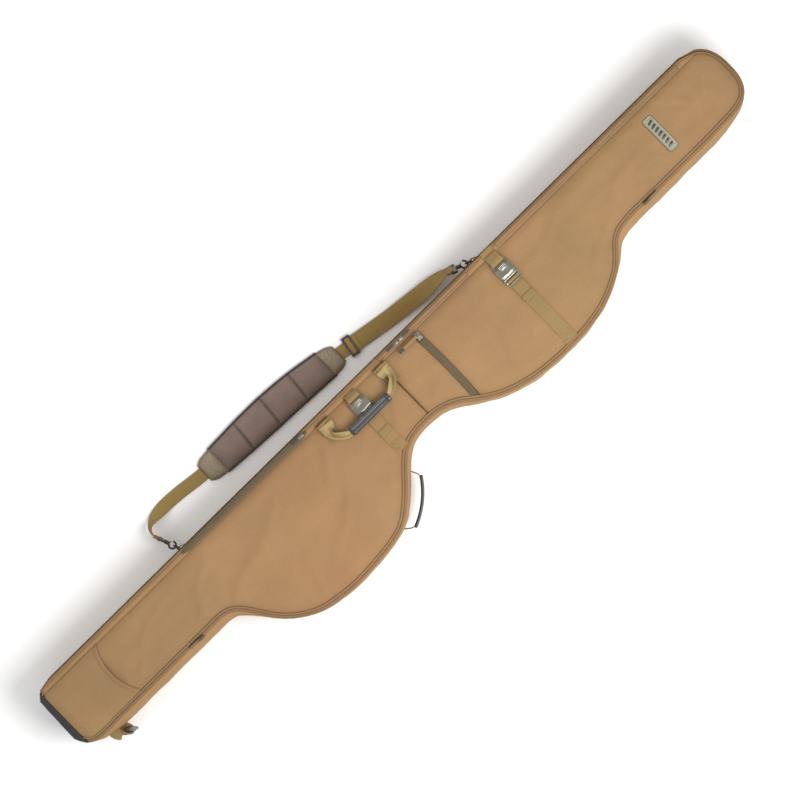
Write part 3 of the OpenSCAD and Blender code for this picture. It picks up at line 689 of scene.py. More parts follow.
def front_h(p, d_out=None):
    """Height of the padded front: rolls off at the piped edge, dips at seams and under the straps."""
    p = np.asarray(p, float)
    if d_out is None:
        d_out = edge_dist(p, LID_OUT) * np.where(inside(p, LID_OUT), 1, -1)
    d = np.maximum(0, np.minimum(d_out, np.maximum(0, SPINE_SEAM + 1 - p[:, 1])))
    x, y = p[:, 0], p[:, 1]
    h = 151.6 + 8.3 * (1 - np.exp(-(d / 13.0) ** 1.15))
    h += 4.2 * sstep(d, 30, 105)
    h -= 3.0 * gauss(x - SEAM_X, 4.5)
    h -= 3.2 * gauss(x - waist_zip_x(y), 11.0)
    # compression straps press in and pull soft folds towards themselves
    for cx, y0, y1 in ((340.0, -175.0, 72.0), (-67.5, -95.0, 72.0)):
        on = sstep(y, y0 - 8, y0 + 8) * (1 - sstep(y, y1 - 4, y1 + 8))
        h -= on * 2.3 * gauss(np.maximum(0, np.abs(x - cx) - 15), 11.0)
        k = on * gauss(np.abs(x - cx) - 34, 30)
        h += k * 0.55 * np.sin(y / 9.0 + 1.7 * np.sin(x / 21.0))
    # loose, low folds in the cloth
    f0 = fbm(np.stack([x * 0.75 + y * 0.35, y * 0.9 - x * 0.20], 1), 150.0, 12.6, 2)
    f1 = fbm(np.stack([x * 0.45 + y * 0.25, y * 0.9 - x * 0.12], 1), 62.0, 3.1, 2)
    f2 = fbm(np.stack([x * 0.8 + y * 0.7, y * 0.8 - x * 0.5], 1), 26.0, 8.7, 2)
    env = sstep(d, 2, 22)
    for cx, cy, rx, ry in ((767.0, 4.0, 30.0, 60.0), (-148.0, 46.0, 34.0, 40.0), (16.0, 46.0, 34.0, 40.0), (340.0, 30.0, 34.0, 44.0), (-67.5, 40.0, 34.0, 44.0)):
        env = env * (1 - 0.9 * np.exp(-(((x - cx) / rx) ** 2 + ((y - cy) / ry) ** 2) ** 1.5))
    h += env * (4.2 * f0 * sstep(d, 8, 50) + 2.1 * f1 + 0.55 * f2)
    # long soft folds: across the top end, out of the handle ends and over the base pocket
    for fx, fy, ang, ln, wd, am in FOLDS:
        ca, sa = math.cos(math.radians(ang)), math.sin(math.radians(ang))
        u = (x - fx) * ca + (y - fy) * sa
        w = -(x - fx) * sa + (y - fy) * ca + 6.0 * np.sin(u / 31.0 + fx)
        h += env * am * np.exp(-(u / ln) ** 4) * (gauss(w, wd) - 0.45 * gauss(w - 2.1 * wd, wd * 1.3))
    # puckers that run in from the piped edge
    h += 0.35 * gauss(d - 9, 8) * np.sin((x + y) / 7.5 + 2.2 * np.sin(y / 19.0) + 1.3 * np.sin(x / 33.0))
    # drawn-in corners where a bulge starts and ends
    for cx, cy, ang in ((-566, -80, 60), (560, -86, 118), (-52, -82, 95), (30, -80, 80)):
        r = np.hypot(x - cx, y - cy)
        a = np.degrees(np.arctan2(y - cy, x - cx)) - ang
        h += env * 1.3 * np.exp(-r / 55.0) * np.sin(np.radians(a) * 7.0) * sstep(r, 4, 25)
    return h


# painted shade: darker along the piped edge and a little way in, along the panel seam and beside the compression straps
def front_crease_shade(p, d):
    x, y = p[:, 0], p[:, 1]
    c = 0.50 * gauss(d, 1.7) + 0.10 * gauss(d, 10)
    c = np.maximum(c, 0.34 * gauss(x - SEAM_X, 1.6))
    c = np.maximum(c, 0.16 * gauss(x - SEAM_X, 5))
    for cx, y0, y1 in ((340.0, -175.0, 72.0), (-67.5, -95.0, 72.0)):
        on = (y > y0) * (y < y1)
        c = np.maximum(c, 0.22 * on * gauss(np.abs(x - cx) - 15.5, 2.6))
    return np.clip(c, 0, 1)


def panel_poly(x0, x1, e=5.0, y_top=SPINE_SEAM):
    q = lid_edge(e)
    q = clip(q, 0, x0, True)
    q = clip(q, 0, x1, False)
    return clip(q, 1, y_top, False)


def clean(poly, tol=0.6):
    out = [poly[0]]
    for q in poly[1:]:
        if np.linalg.norm(q - out[-1]) > tol:
            out.append(q)
    if np.linalg.norm(out[0] - out[-1]) < tol:
        out.pop()
    return np.array(out)


STEP = 5.0


def zip_side_cut(poly, side):
    """Bow the polygon's waist edge along the zip."""
    q = poly.copy()
    for i, (x, y) in enumerate(q):
        if abs(x - (WZ_X + side * 7.5)) < 0.01:
            q[i, 0] = waist_zip_x(y) + side * 7.0
    return q


def densify_x(poly, xv):
    """Adds points along a cut at x = xv so it can be bowed."""
    out = []
    n = len(poly)
    for i in range(n):
        a, b = poly[i], poly[(i + 1) % n]
        out.append(a)
        if abs(a[0] - xv) < 0.01 and abs(b[0] - xv) < 0.01 and abs(a[1] - b[1]) > 20:
            for t in np.linspace(0, 1, 24)[1:-1]:
                out.append(a + (b - a) * t)
    return np.array(out)


def front_panel(name, poly, mats, replaces, slot):
    def top(v, d):
        return front_h(v)

    def bot(v, d):
        return np.minimum(front_h(v) - 1.2, 151.6 + 0.5 * np.minimum(d, 4))
    return slab(name, clean(poly), top, bot, STEP, mats, "lid", replaces=replaces, slot=slot, crease_shade=front_crease_shade, ring=(1.8, 4.4))


p_low = panel_poly(-838, SEAM_X)
p_waist = zip_side_cut(densify_x(panel_poly(SEAM_X, WZ_X - 7.5), WZ_X - 7.5), -1)
p_sleeve = zip_side_cut(densify_x(panel_poly(WZ_X + 7.5, 990), WZ_X + 7.5), 1)


def low_top(v, d):
    h = front_h(v)
    return np.where(v[:, 0] < -806, 151.8 + (h - 151.8) * sstep(v[:, 0], -842, -806), h)


o = slab("lower_pocket_cloth", clean(p_low), low_top, lambda v, d: np.minimum(low_top(v, d) - 0.9, 151.6 + 0.3 * np.minimum(d, 4)), STEP, "canvas", "lid",
         replaces=("lower_pocket", "lid_panel"), slot="canvas_main", crease_shade=front_crease_shade, ring=(1.8, 4.4))
front_panel("waist_panel_cloth", p_waist, "canvas", ("waist_panel",), "canvas_gusset")
front_panel("sleeve_panel_cloth", p_sleeve, "canvas", ("sleeve_panel",), "canvas_main")

# base pocket: its mouth is scooped, with a folded hem
mouth = [(-698 + 124 * math.cos(math.radians(a)), 6 + 124 * math.sin(math.radians(a))) for a in np.linspace(148, 212, 34)]
pb = panel_poly(-958.6, -805, e=4.6, y_top=SPINE_SEAM + 0.4)
x_m = np.array([m[0] for m in mouth])
y_m = np.array([m[1] for m in mouth])


def mouth_x(y):
    return np.interp(np.asarray(y, float), y_m[::-1], x_m[::-1])


poly = []
n = len(pb)
for i in range(n):
    a, b = pb[i], pb[(i + 1) % n]
    poly.append(a)
    if abs(a[0] + 805) < 0.01 and abs(b[0] + 805) < 0.01:
        for t in np.linspace(0, 1, 40)[1:-1]:
            poly.append(a + (b - a) * t)
pb = np.array(poly)
for i in range(len(pb)):
    if pb[i, 0] > -805.5:
        pb[i, 0] = mouth_x(pb[i, 1])


def bp_top(v, d):
    x, y = v[:, 0], v[:, 1]
    dm = np.maximum(0, mouth_x(y) - x)
    d_o = np.minimum(edge_dist(v, LID_OUT), np.maximum(0, SPINE_SEAM + 1 - y))
    h = 153.0 + 8.6 * (1 - np.exp(-(np.maximum(0, d_o) / 11.0) ** 1.1))
    h += 0.9 * gauss(dm - 3, 3.5) - 1.0 * gauss(dm - 11, 3.0)
    h += 1.2 * fbm(np.stack([x * 0.7, y], 1), 34.0, 21.0, 2) * sstep(d_o, 3, 25)
    h -= 2.6 * (1 - sstep(x, -959, -940))
    return np.minimum(h, 164.0)


# painted shade: darker along the pocket's edge and in the fold under its hem
def bp_crease_shade(v, d):
    dm = mouth_x(v[:, 1]) - v[:, 0]
    return np.clip(0.5 * gauss(np.minimum(d, 50), 1.4) + 0.25 * gauss(dm - 9.5, 3.2), 0, 1)


# the pocket is a sheet over a hollow: its underside follows its top 1.6 mm lower
base_pocket = slab("base_pocket_cloth", clean(pb), bp_top, lambda v, d: bp_top(v, d) - 1.6, 5.0, "canvas", "lid",
                   replaces=("base_pocket",), slot="canvas_gusset", crease_shade=bp_crease_shade, ring=(1.6, 4.0))

# ------------------------------------------------------------------ lid board with lining, skirt and piping
lidp = clip(clean(lid_edge(5.2)), 0, -959.0, True)
lid_lining = slab("lid_board", clean(lidp), lambda v, d: 150.2 + 1.2 * (1 - np.exp(-d / 5.0)),
                  lambda v, d: 146.6 - 3.4 * (1 - np.exp(-d / 9.0)) + 0.9 * gauss(((v[:, 0] + v[:, 1]) % 90) - 45, 5) + 0.9 * gauss(((v[:, 0] - v[:, 1]) % 90) - 45, 5),
                  10.0, ["canvas", "lining"], "lid", replaces=("lid_foam",), slot="canvas_main", bottom_mat=1)


def clip_path(p, cap=CAP_X + 1.2):
    """Open path round the case, from the base on the reel side to the base on the spine side."""
    p = np.asarray(p, float)
    start = next(i for i in range(len(p)) if p[i][0] > cap and p[i][1] < 0)
    a, b = p[start - 1], p[start]
    t = (cap - a[0]) / (b[0] - a[0])
    path = [a + (b - a) * t]
    i = start
    while p[i % len(p)][0] > cap:
        path.append(p[i % len(p)])
        i += 1
    a, b = p[(i - 1) % len(p)], p[i % len(p)]
    t = (cap - a[0]) / (b[0] - a[0])
    path.append(a + (b - a) * t)
    return np.array(path)


def path_frames(path2):
    t = np.gradient(np.asarray(path2, float), axis=0)
    t /= np.linalg.norm(t, axis=1, keepdims=True)
    inward = np.stack([-t[:, 1], t[:, 0], np.zeros(len(t))], 1)
    return inward, np.tile([0, 0, 1.0], (len(t), 1))


def round_sec(r, n=10, sx=1.0):
    return [(sx * r * math.cos(2 * math.pi * k / n), r * math.sin(2 * math.pi * k / n)) for k in range(n)]


# one flat strip carries piping cord, its sewn flange and the skirt down to the zip
lp = resample(clip_path(lid_edge(3.4)), 7)
side, up = path_frames(lp)
lp3 = np.column_stack([lp, np.full(len(lp), 150.4)])
wob = fbm(lp3, 40, 5.0, 2)
lp3[:, 2] += 0.35 * wob
bag = Bag()
bag.add(sweep_data(lp3, side, up, lambda i: round_sec(1.9, 10)), 0)
skirt = np.column_stack([lp, np.full(len(lp), 146.6)])
bag.add(sweep_data(skirt, side, up, lambda i: [(-0.9, -3.8), (1.6, -3.8), (1.9, 3.2), (-0.4, 3.2)]), 1)
lid_piping = bag.make("lid_piping_cord", ["piping", "canvas"], "lid", replaces=("lid_piping",), slot="canvas_gusset")

# ------------------------------------------------------------------ padded tub wall
def wall_profile(seam):
    """Closed section of the wall: (distance in from the outline, height). It leans in over its top to the zip."""
    s = seam - 3.6
    outer = [(3.2, 2.0), (1.2, 5.0), (0.2, 11.0), (-0.9, 24.0), (-1.8, 45.0), (-2.1, 70.0), (-1.6, 92.0), (-0.6, 108.0)]
    n = 9
    for k in range(1, n + 1):
        a = math.pi / 2 * k / n
        outer.append(((-0.2) + (s + 0.2) * (1 - math.cos(a)) ** 0.92, 112.0 + 26.6 * math.sin(a) ** 0.9))
    inner = [(s + 1.6, 137.2)]
    for k in range(n - 1, 0, -1):
        a = math.pi / 2 * k / n
        inner.append((7.6 + max(0.5, s - 3.5) * (1 - math.cos(a)), 106.0 + 28.0 * math.sin(a)))
    inner += [(8.2, 104.0), (8.6, 80.0), (8.6, 50.0), (8.4, 24.0), (8.2, 9.5)]
    return outer, inner


def wall(name, path, replaces, slot):
    path = np.asarray(path, float)
    seam = np.interp(np.arange(len(path)), np.arange(len(path)), seam_in(path))
    seg = np.concatenate([[0], np.cumsum(np.linalg.norm(np.diff(path, axis=0), axis=1))])
    t = np.gradient(path, axis=0)
    t /= np.linalg.norm(t, axis=1, keepdims=True)
    nin = np.stack([-t[:, 1], t[:, 0]], 1)
    curv = np.abs(np.gradient(np.unwrap(np.arctan2(t[:, 1], t[:, 0])), seg))
    curv = np.convolve(np.pad(curv, 4, mode="edge"), np.ones(9) / 9, "valid")
    verts, uv, cre = [], [], []
    no = None
    spine = "spine" in name
    calm = np.ones(len(path))
    if spine:
        for cx in (331.0, -537.0):
            calm = np.minimum(calm, sstep(np.abs(path[:, 0] - cx), 26, 60))
    for i in range(len(path)):
        outer, inner = wall_profile(float(seam[i]))
        if spine:
            outer = [(a if a > 0 else a * 0.15, b) for a, b in outer]
        no = len(outer)
        w = 0
        sec = outer + inner
        for k, (d, z) in enumerate(sec):
            if k:
                w += math.hypot(d - sec[k - 1][0], z - sec[k - 1][1])
            amp = math.sin(math.pi * min(1, max(0, (z - 4) / 132)))
            if spine:
                amp *= 0.5 * calm[i]
            if k < no:
                q = Vector((seg[i] / 46.0, z / 88.0, 4.0))
                f = noise.fractal(q, 1.0, 2.0, 2)
                q2 = Vector((seg[i] / 15.0, z / 60.0, 9.0))
                f2 = noise.fractal(q2, 1.0, 2.0, 2)
                d = d - amp * (1.5 * f + (0.4 + min(1.6, 70 * curv[i])) * f2)
                # puckers under the top seam and over the bottom seam
                d -= 0.45 * math.exp(-((z - 128) / 9.0) ** 2) * math.sin(seg[i] / 2.6 + 2 * math.sin(seg[i] / 23.0))
                d += 0.35 * math.exp(-((z - 10) / 6.0) ** 2) * math.sin(seg[i] / 2.9)
                # painted shade: darker under the top seam and along the foot of the wall by the floor
                c = 0.35 * math.exp(-((k - (no - 1)) / 0.6) ** 2) + 0.4 * math.exp(-((z - 3) / 3.0) ** 2)
                if path[i][0] < CAP_X:
                    d += 1.3
            else:
                # painted shade: the inside of the wall a little darker
                c = 0.1
            verts.append((path[i][0] + nin[i][0] * d, path[i][1] + nin[i][1] * d, z))
            uv.append((seg[i], w))
            cre.append(c)
    ns = len(sec)
    faces, fm = [], []
    for i in range(len(path) - 1):
        for k in range(ns):
            a, b = i * ns + k, i * ns + (k + 1) % ns
            faces.append((a, a + ns, b + ns, b))
            fm.append(0 if k < no + 1 else 1)
    faces.append(tuple(range(ns)))
    fm.append(1)
    faces.append(tuple(reversed(range((len(path) - 1) * ns, len(path) * ns))))
    fm.append(1)
    return make(name, verts, faces, ["gusset" if "reel" in name else "canvas", "lining"], "tub", uv=uv, crease_shade=cre, face_mat=fm, replaces=replaces, slot=slot)


full = clip_path(OUT, CAP_X - 3.0)
cut = next(i for i in range(len(full)) if full[i][0] <= 905.5 and full[i][1] > 85)
WSTEP = 8
reel_path = resample(full[:cut + 1], WSTEP)
spine_path = resample(full[cut:], WSTEP)
reel_wall = wall("reel_side_wall_cloth", reel_path, ("reel_side_gusset",), "canvas_gusset")
spine_wall = wall("spine_wall_cloth", spine_path, ("spine_gusset",), "canvas_main")

# back panel with its lining foam above, and the piped seam round it
backp = clean(clip(clean(inset(OUT, 3.6)), 0, CAP_X + 0.5, True))
back = slab("rear_panel_cloth", backp, lambda v, d: np.full(len(v), 2.4), lambda v, d: 2.0 - 1.9 * (1 - np.exp(-d / 4.0)), 14.0, "canvas", "tub",
            replaces=("rear_panel",), slot="canvas_main")
foamp = clean(clip(clean(inset(OUT, 8.3)), 0, CAP_X + 0.5, True))


def quilt(v, pitch=70.0, w=4.0):
    a = np.abs(((v[:, 0] + v[:, 1]) % pitch) - pitch / 2)
    b = np.abs(((v[:, 0] - v[:, 1]) % pitch) - pitch / 2)
    return np.maximum(gauss(a, w), gauss(b, w))


# painted shade: darker along the sunken quilting lines
foam = slab("rear_lining_quilt", foamp, lambda v, d: 9.3 - 1.5 * quilt(v) - 1.2 * gauss(d, 5), lambda v, d: np.full(len(v), 2.6), 7.0,
            "lining", "tub", replaces=("rear_foam",), slot="lining", crease_shade=lambda v, d: 0.5 * quilt(v, 70.0, 2.0))
bp_path = resample(clip_path(inset(OUT, 2.2), CAP_X + 0.6), 9)
side, up = path_frames(bp_path)
Bag().add(sweep_data(np.column_stack([bp_path, np.full(len(bp_path), 2.4)]), side, up, lambda i: round_sec(2.2, 8))).make(
    "rear_piping_cord", ["piping"], "tub", replaces=("rear_piping",), slot="canvas_gusset")


# ------------------------------------------------------------------ zips
def zip_half(bag, path2, z, tape_in, tape_out, tooth_out, pitch=2.2, tm=1, offset=0.0, z_t=None, up3=None):
    """One half of a zip in a horizontal plane: the tape from tape_in to tape_out. tooth_out (+1 inward) is not used,
    and no teeth are made.
    """
    side, up = path_frames(path2)
    p3 = np.column_stack([path2, np.full(len(path2), z)])
    bag.add(sweep_data(p3, side, up, lambda i: [(tape_in, -0.35), (tape_out, -0.35), (tape_out, 0.35), (tape_in, 0.35)]), 0)
    return side, p3


def teeth_data(path3, side, width, height, pitch=2.2, length=1.35, offset=0.0, nub=0.5):
    """Zip teeth: low rounded blocks across the path."""
    path3 = np.asarray(path3, float)
    seg = np.concatenate([[0], np.cumsum(np.linalg.norm(np.diff(path3, axis=0), axis=1))])
    k = int((seg[-1] - pitch) / pitch)
    ts = pitch * 0.5 + offset + np.arange(k) * pitch
    P = np.stack([np.interp(ts, seg, path3[:, j]) for j in range(3)], 1)
    S = np.stack([np.interp(ts, seg, side[:, j]) for j in range(3)], 1)
    S /= np.linalg.norm(S, axis=1, keepdims=True)
    U = np.array([0, 0, 1.0])
    verts, faces, uv = [], [], []
    for i in range(k):
        s = S[i]
        tdir = np.cross(s, U)
        o = len(verts)
        for h, kx in ((-0.1, 1.0), (height * 0.6, 1.0), (height, 0.62)):
            for a, b in ((-1, -1), (1, -1), (1, 1), (-1, 1)):
                verts.append(P[i] + s * (a * width / 2 * kx) + tdir * (b * length / 2 * kx) + U * h)
                uv.append((ts[i], a))
        for lv in (0, 4):
            for j in range(4):
                a, b = o + lv + j, o + lv + (j + 1) % 4
                faces.append((a, b, b + 4, a + 4))
        faces.append((o + 8, o + 9, o + 10, o + 11))
        faces.append((o + 3, o + 2, o + 1, o))
    return verts, faces, uv


def no_spine(path):
    """The main zip stops short of the hinge side."""
    keep = [p for p in path if not (p[0] < 905 and p[1] > 70)]
    return np.array(keep)


mz = no_spine(clip_path(lid_edge(-0.25), CAP_X + 1.4))
mz = resample(mz, 6)
side, up = path_frames(mz)
b1, b2 = Bag(), Bag()
z_m = 141.4
p3 = np.column_stack([mz, np.full(len(mz), z_m)])


def shelf_sec(i):
    """Outer shelf of the zip; it narrows away where it meets the hinge fold."""
    f = max(0.12, min(1.0, (len(mz) - 1 - i) / 5.0))
    return [((a + 1.0) * f - 1.0 if a < -1.0 else a, h) for a, h in ((-6.2, -2.6), (-6.0, -2.0), (-1.0, -0.4), (-0.3, -0.4), (-0.3, 0.4), (-1.0, 0.4), (-6.2, -1.2))]


b1.add(sweep_data(p3, side, up, shelf_sec), 0)
b1.add(sweep_data(p3, side, up, lambda i: [(-3.0, -1.7), (5.2, -2.3), (5.2, -1.8), (-3.0, -1.2)]), 0)
b1.add(teeth_data(p3 + side * -1.3, side, 2.0, 1.0, offset=0.0), 1)
b2.add(sweep_data(p3, side, up, lambda i: [(0.5, -0.35), (5.2, -0.35), (5.2, 0.5), (0.5, 0.35)]), 0)
b2.add(teeth_data(p3 + side * 1.2, side, 2.0, 1.0, offset=1.1), 1)
b1.make("main_zip_tub_tape", ["ziptape", "teeth"], "tub", replaces=("main_zip_tub_side",), slot="webbing_tan")
b2.make("main_zip_lid_tape", ["ziptape", "teeth"], "lid", replaces=("main_zip_lid_side",), slot="webbing_tan")

# hinge fold along the spine: one strip of cloth from the wall's top edge up into the lid
hc = lid_edge(3.4)
hc = hc[(hc[:, 0] > 870) & (hc[:, 1] > 60)]
hc = hc[np.argsort(hc[:, 0])]
hp = np.array([(x, min(86.6 - max(0.0, -925 - x) * 6 / 32, float(np.interp(x, hc[:, 0], hc[:, 1]))), 0) for x in np.linspace(-957, 909, 194)])
hw = fbm(hp, 30, 2.0, 2)
hinge = []
for i, q in enumerate(hp):
    hinge.append((q[0], q[1] + 0.5 * hw[i], 142.2))
hinge = np.array(hinge)
side = np.tile([0, 1.0, 0], (len(hinge), 1))
up = np.tile([0, 0, 1.0], (len(hinge), 1))
sec = [(-3.0, 0.6), (-1.0, 1.4), (1.6, 1.6), (3.0, 0.4), (3.4, -1.6), (2.8, -3.6), (2.0, -3.6), (2.4, -1.6), (2.2, 0.0), (1.2, 0.6), (-1.0, 0.5), (-3.0, -0.2)]
hf = Bag().add(sweep_data(hinge, side, up, lambda i: sec)).make("lid_hinge_fold", ["canvas"], None, replaces=("lid_hinge_tape",), slot="canvas_main")
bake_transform(hf)


def flat_zip(name, path2, hfun, half, mats, body, replaces, slot, tooth=2.6, pitch=2.0, ends=None):
    """A closed zip lying on a surface of height hfun: two tapes and meshed teeth."""
    path2 = np.asarray(path2, float)
    side, up = path_frames(path2)
    z = hfun(path2)
    p3 = np.column_stack([path2, z])
    b = Bag()
    n = len(path2)

    def sec(i):
        t = 1.0
        if ends:
            f = i / (n - 1)
            t = min(1, 0.25 + 0.75 * math.sin(math.pi * min(1, max(0, min(f, 1 - f) * ends / 1.0))) if min(f, 1 - f) * ends < 0.5 else 1)
        w = half * t
        return [(-w, -0.5), (-w * 0.4, 0.1), (0, 0.2), (w * 0.4, 0.1), (w, -0.5), (w, -1.3), (-w, -1.3)]
    b.add(sweep_data(p3, side, up, sec), 0)
    b.add(teeth_data(p3 + side * 0.75, side, tooth, 1.1, pitch=pitch), 1)
    b.add(teeth_data(p3 - side * 0.75, side, tooth, 1.1, pitch=pitch, offset=pitch / 2), 1)
    return b.make(name, mats, body, replaces=replaces, slot=slot)


def add_edges(p, lo, hi, n):
    return np.linspace(lo, hi, n)


ys = np.linspace(60, -113, 90)
wz = np.stack([waist_zip_x(ys), ys], 1)


def wz_h(p):
    d = edge_dist(p, LID_OUT)
    return np.minimum(front_h(p) + 0.9, 160.6 + 0 * d)


flat_zip("waist_zip_tape", wz, wz_h, 8.0, ["zipgrey", "teethgrey"], "lid", ("waist_zip",), "zip_tape_grey")

sx = np.linspace(-186, -546, 150)
sz = np.stack([sx, np.full(len(sx), 79.0)], 1)
flat_zip("side_pocket_zip_tape", sz, lambda p: 154.6 + 0.7 * np.sin(math.pi * np.clip((p[:, 0] + 546) / 360, 0, 1)), 7.2, ["zipgrey", "teethgrey"], "lid",
         ("side_pocket_zip",), "zip_tape_grey", ends=9.0)
bz = Bag()
for x0, x1 in ((280, 24), (889, 363)):
    xs = np.linspace(x0, x1, 110)
    q = np.stack([xs, np.full(len(xs), 79.0)], 1)
    s, u = path_frames(q)
    p3 = np.column_stack([q, np.full(len(q), 154.9)])
    bz.add(sweep_data(p3, s, u, lambda i: [(-5.6, -0.6), (-2, 0.1), (2, 0.1), (5.6, -0.6), (5.6, -1.4), (-5.6, -1.4)]), 0)
    bz.add(teeth_data(p3 + s * 0.6, s, 2.0, 0.9, pitch=2.0), 1)
    bz.add(teeth_data(p3 - s * 0.6, s, 2.0, 0.9, pitch=2.0, offset=1.0), 1)
bz.make("sleeve_zip_tape", ["ziptape", "teeth"], "lid", replaces=("sleeve_zip",), slot="webbing_tan")

# cloth strip between the panels and the hinge, along the spine; it narrows away round the top corner
le = lid_edge(4.4)
le = le[(le[:, 0] > 880) & (le[:, 1] > 60)]
le = le[np.argsort(le[:, 0])]
xs = np.concatenate([np.linspace(-954, 890, 250), np.linspace(893, 940, 24)])
strip, sk = [], []
for x in xs:
    yo = min(85.6, float(np.interp(x, le[:, 0], le[:, 1])))
    hw_ = (yo - 70.4) / 2
    if hw_ < 1.2:
        break
    strip.append((x, 70.4 + hw_, 152.2 - 0.10 * (7.6 - hw_)))
    sk.append(hw_ / 7.6)
strip = np.array(strip)
sn = fbm(strip, 28, 12.0, 2)
side = np.tile([0, 1.0, 0], (len(strip), 1))
up = np.tile([0, 0, 1.0], (len(strip), 1))
Bag().add(sweep_data(strip + np.stack([0 * sn, 0 * sn, 0.5 * sn * np.array(sk)], 1), side, up,
                     lambda i: [(a * sk[i], b) for a, b in ((-7.4, 0.4), (-4, 1.2), (0, 1.5), (4, 1.0), (7.0, -0.8), (7.6, -3.0), (6.6, -3.2), (0, -1.2), (-7.4, -1.2))])).make(
    "lid_spine_strip", ["canvas"], "lid", slot="canvas_main")

# ------------------------------------------------------------------ straps and buckles on the front
def curve(p, n):
    return np.array(spline(p, n) + [np.array(p[-1], float)])


def edge_y(x, lo=-240.0, hi=0.0):
    ys = np.linspace(lo, hi, 1200)
    ok = inside(np.stack([np.full(len(ys), x), ys], 1), LID_OUT)
    return float(ys[np.argmax(ok)])


def draped(path2, width, t, lift, side2=(1.0, 0.0)):
    """Webbing laid on the padded front; the path runs towards the reel side."""
    path2 = np.asarray(path2, float)
    s2 = np.asarray(side2, float)
    sec = web_section(width, t)
    ns, n = len(sec), len(path2)
    zc = front_h(path2)
    H = np.stack([0.62 * np.maximum(front_h(path2 + s2 * q[0]), zc - 1.6) + 0.38 * zc for q in sec], 1)
    seg = np.concatenate([[0], np.cumsum(np.linalg.norm(np.diff(path2, axis=0), axis=1))])
    verts, uv, faces = [], [], []
    for i in range(n):
        for k, q in enumerate(sec):
            p = path2[i] + s2 * q[0]
            verts.append((p[0], p[1], H[i, k] + lift + q[1]))
            uv.append((seg[i], q[0] + 100))
    for i in range(n - 1):
        for k in range(ns):
            a, b = i * ns + k, i * ns + (k + 1) % ns
            faces.append((a, b, b + ns, a + ns))
    faces.append(tuple(reversed(range(ns))))
    faces.append(tuple(range((n - 1) * ns, n * ns)))
    return verts, faces, uv


def on_front(p2, lift):
    p2 = np.asarray(p2, float)
    return np.column_stack([p2, front_h(p2) + lift])


def box_x(x0, x1, y0, y1, lift):
    """Rows of a box-and-cross stitch on the front."""
    rows = []
    for a, b in (((x0, y0), (x1, y0)), ((x1, y0), (x1, y1)), ((x1, y1), (x0, y1)), ((x0, y1), (x0, y0)), ((x0, y0), (x1, y1)), ((x1, y0), (x0, y1))):
        rows.append(on_front(np.array([np.array(a) + (np.array(b) - np.array(a)) * k for k in np.linspace(0, 1, 9)]), lift))
    return rows


def comp_strap(name, x, y_b, tip, node, body_node):
    bag = Bag()
    ye = edge_y(x)
    bag.add(draped(np.array([(x + 0.35 * math.sin(y / 23.0), y) for y in np.linspace(y_b - 1, ye - 0.6, 70)]), 29.4, 1.7, 0.9), 0)
    bag.add(ribbon_data(np.array([(x, y, z) for y, z in curve(tip, 5)]), 29.0, 1.6, side=(1, 0, 0)), 0)
    for r in box_x(x - 11, x + 11, ye + 6, ye + 24, 1.85):
        bag.add(stitch_data(r), 1)
    o = bag.make(name, ["web", "threadweb"], "lid", replaces=(node,), slot="webbing_tan")
    # the loop that goes through the ladder of the male half, with its sewn tail
    tail = np.array([(x, y_b + u) for u in (-62, -54, -46, -38, -30, -24)])
    # it clears the strap under it all along the buckle's travel
    zt = np.max([front_h(tail - np.array([0, q])) for q in (0, 8, 16, 24, 32)], axis=0) + 0.9 + 1.85
    prof = [(tail[k, 1], zt[k]) for k in range(len(tail))]
    prof += [(y_b + u, z) for u, z in ((-18.4, 161.9), (-15.4, 162.5), (-13.9, 165.0), (-13.4, 168.0), (-12.2, 170.3), (-10.1, 171.0), (-8.0, 170.3), (-6.9, 168.0), (-6.7, 165.0), (-7.8, 162.9), (-11.0, 162.3), (-15.0, 162.0))]
    c = curve(prof, 4)
    b2 = Bag()
    b2.add(ribbon_data(np.array([(x, a, z) for a, z in c]), 28.6, 1.5, side=(-1, 0, 0)), 0)
    # folded end
    fold = [(y_b - 50.0, zt[1] + 1.7), (y_b - 58.0, zt[0] + 1.75), (y_b - 63.0, zt[0] + 1.4), (y_b - 64.4, zt[0] + 0.4), (y_b - 62.5, zt[0] + 0.1)]
    b2.add(ribbon_data(np.array([(x, a, z) for a, z in curve(fold[::-1], 4)]), 28.6, 1.4, side=(-1, 0, 0)), 0)
    for yy in (y_b - 53.0, y_b - 60.0):
        b2.add(stitch_data(np.array([(x + a, yy, np.interp(yy, [y_b - 62, y_b - 46], [zt[0], zt[2]]) + 2.65) for a in np.linspace(-12, 12, 7)])), 1)
    b2.make(name + "_loop", ["web", "threadweb"], body_node, slot="webbing_tan")
    return o


tip_up = [(87.2, 152.6), (85.8, 154.4), (82.0, 155.2), (77.5, 155.5), (74.8, 156.6), (73.2, 159.0), (71.2, 161.6), (68.0, 163.6), (63.5, 166.0), (59.0, 168.6),
          (55.0, 170.3), (51.0, 170.6), (48.0, 169.4), (46.3, 167.2), (45.8, 164.4), (48.0, 162.2), (53.0, 161.6), (60.0, 161.2), (66.0, 160.8)]
tip_wa = [(74.2, 151.8), (73.6, 155.4), (72.4, 159.0), (70.4, 162.2), (67.6, 165.4), (64.6, 168.4), (61.4, 170.3), (58.2, 170.1), (56.0, 168.2), (54.9, 165.4),
          (56.2, 162.4), (60.0, 161.6), (65.0, 161.0), (69.0, 160.2)]
comp_strap("upper_strap_cloth", 340.0, 14.0, tip_up, "upper_compression_strap", "buckle_upper")
comp_strap("waist_strap_cloth", -67.5, 23.0, tip_wa, "waist_compression_strap", "buckle_waist")


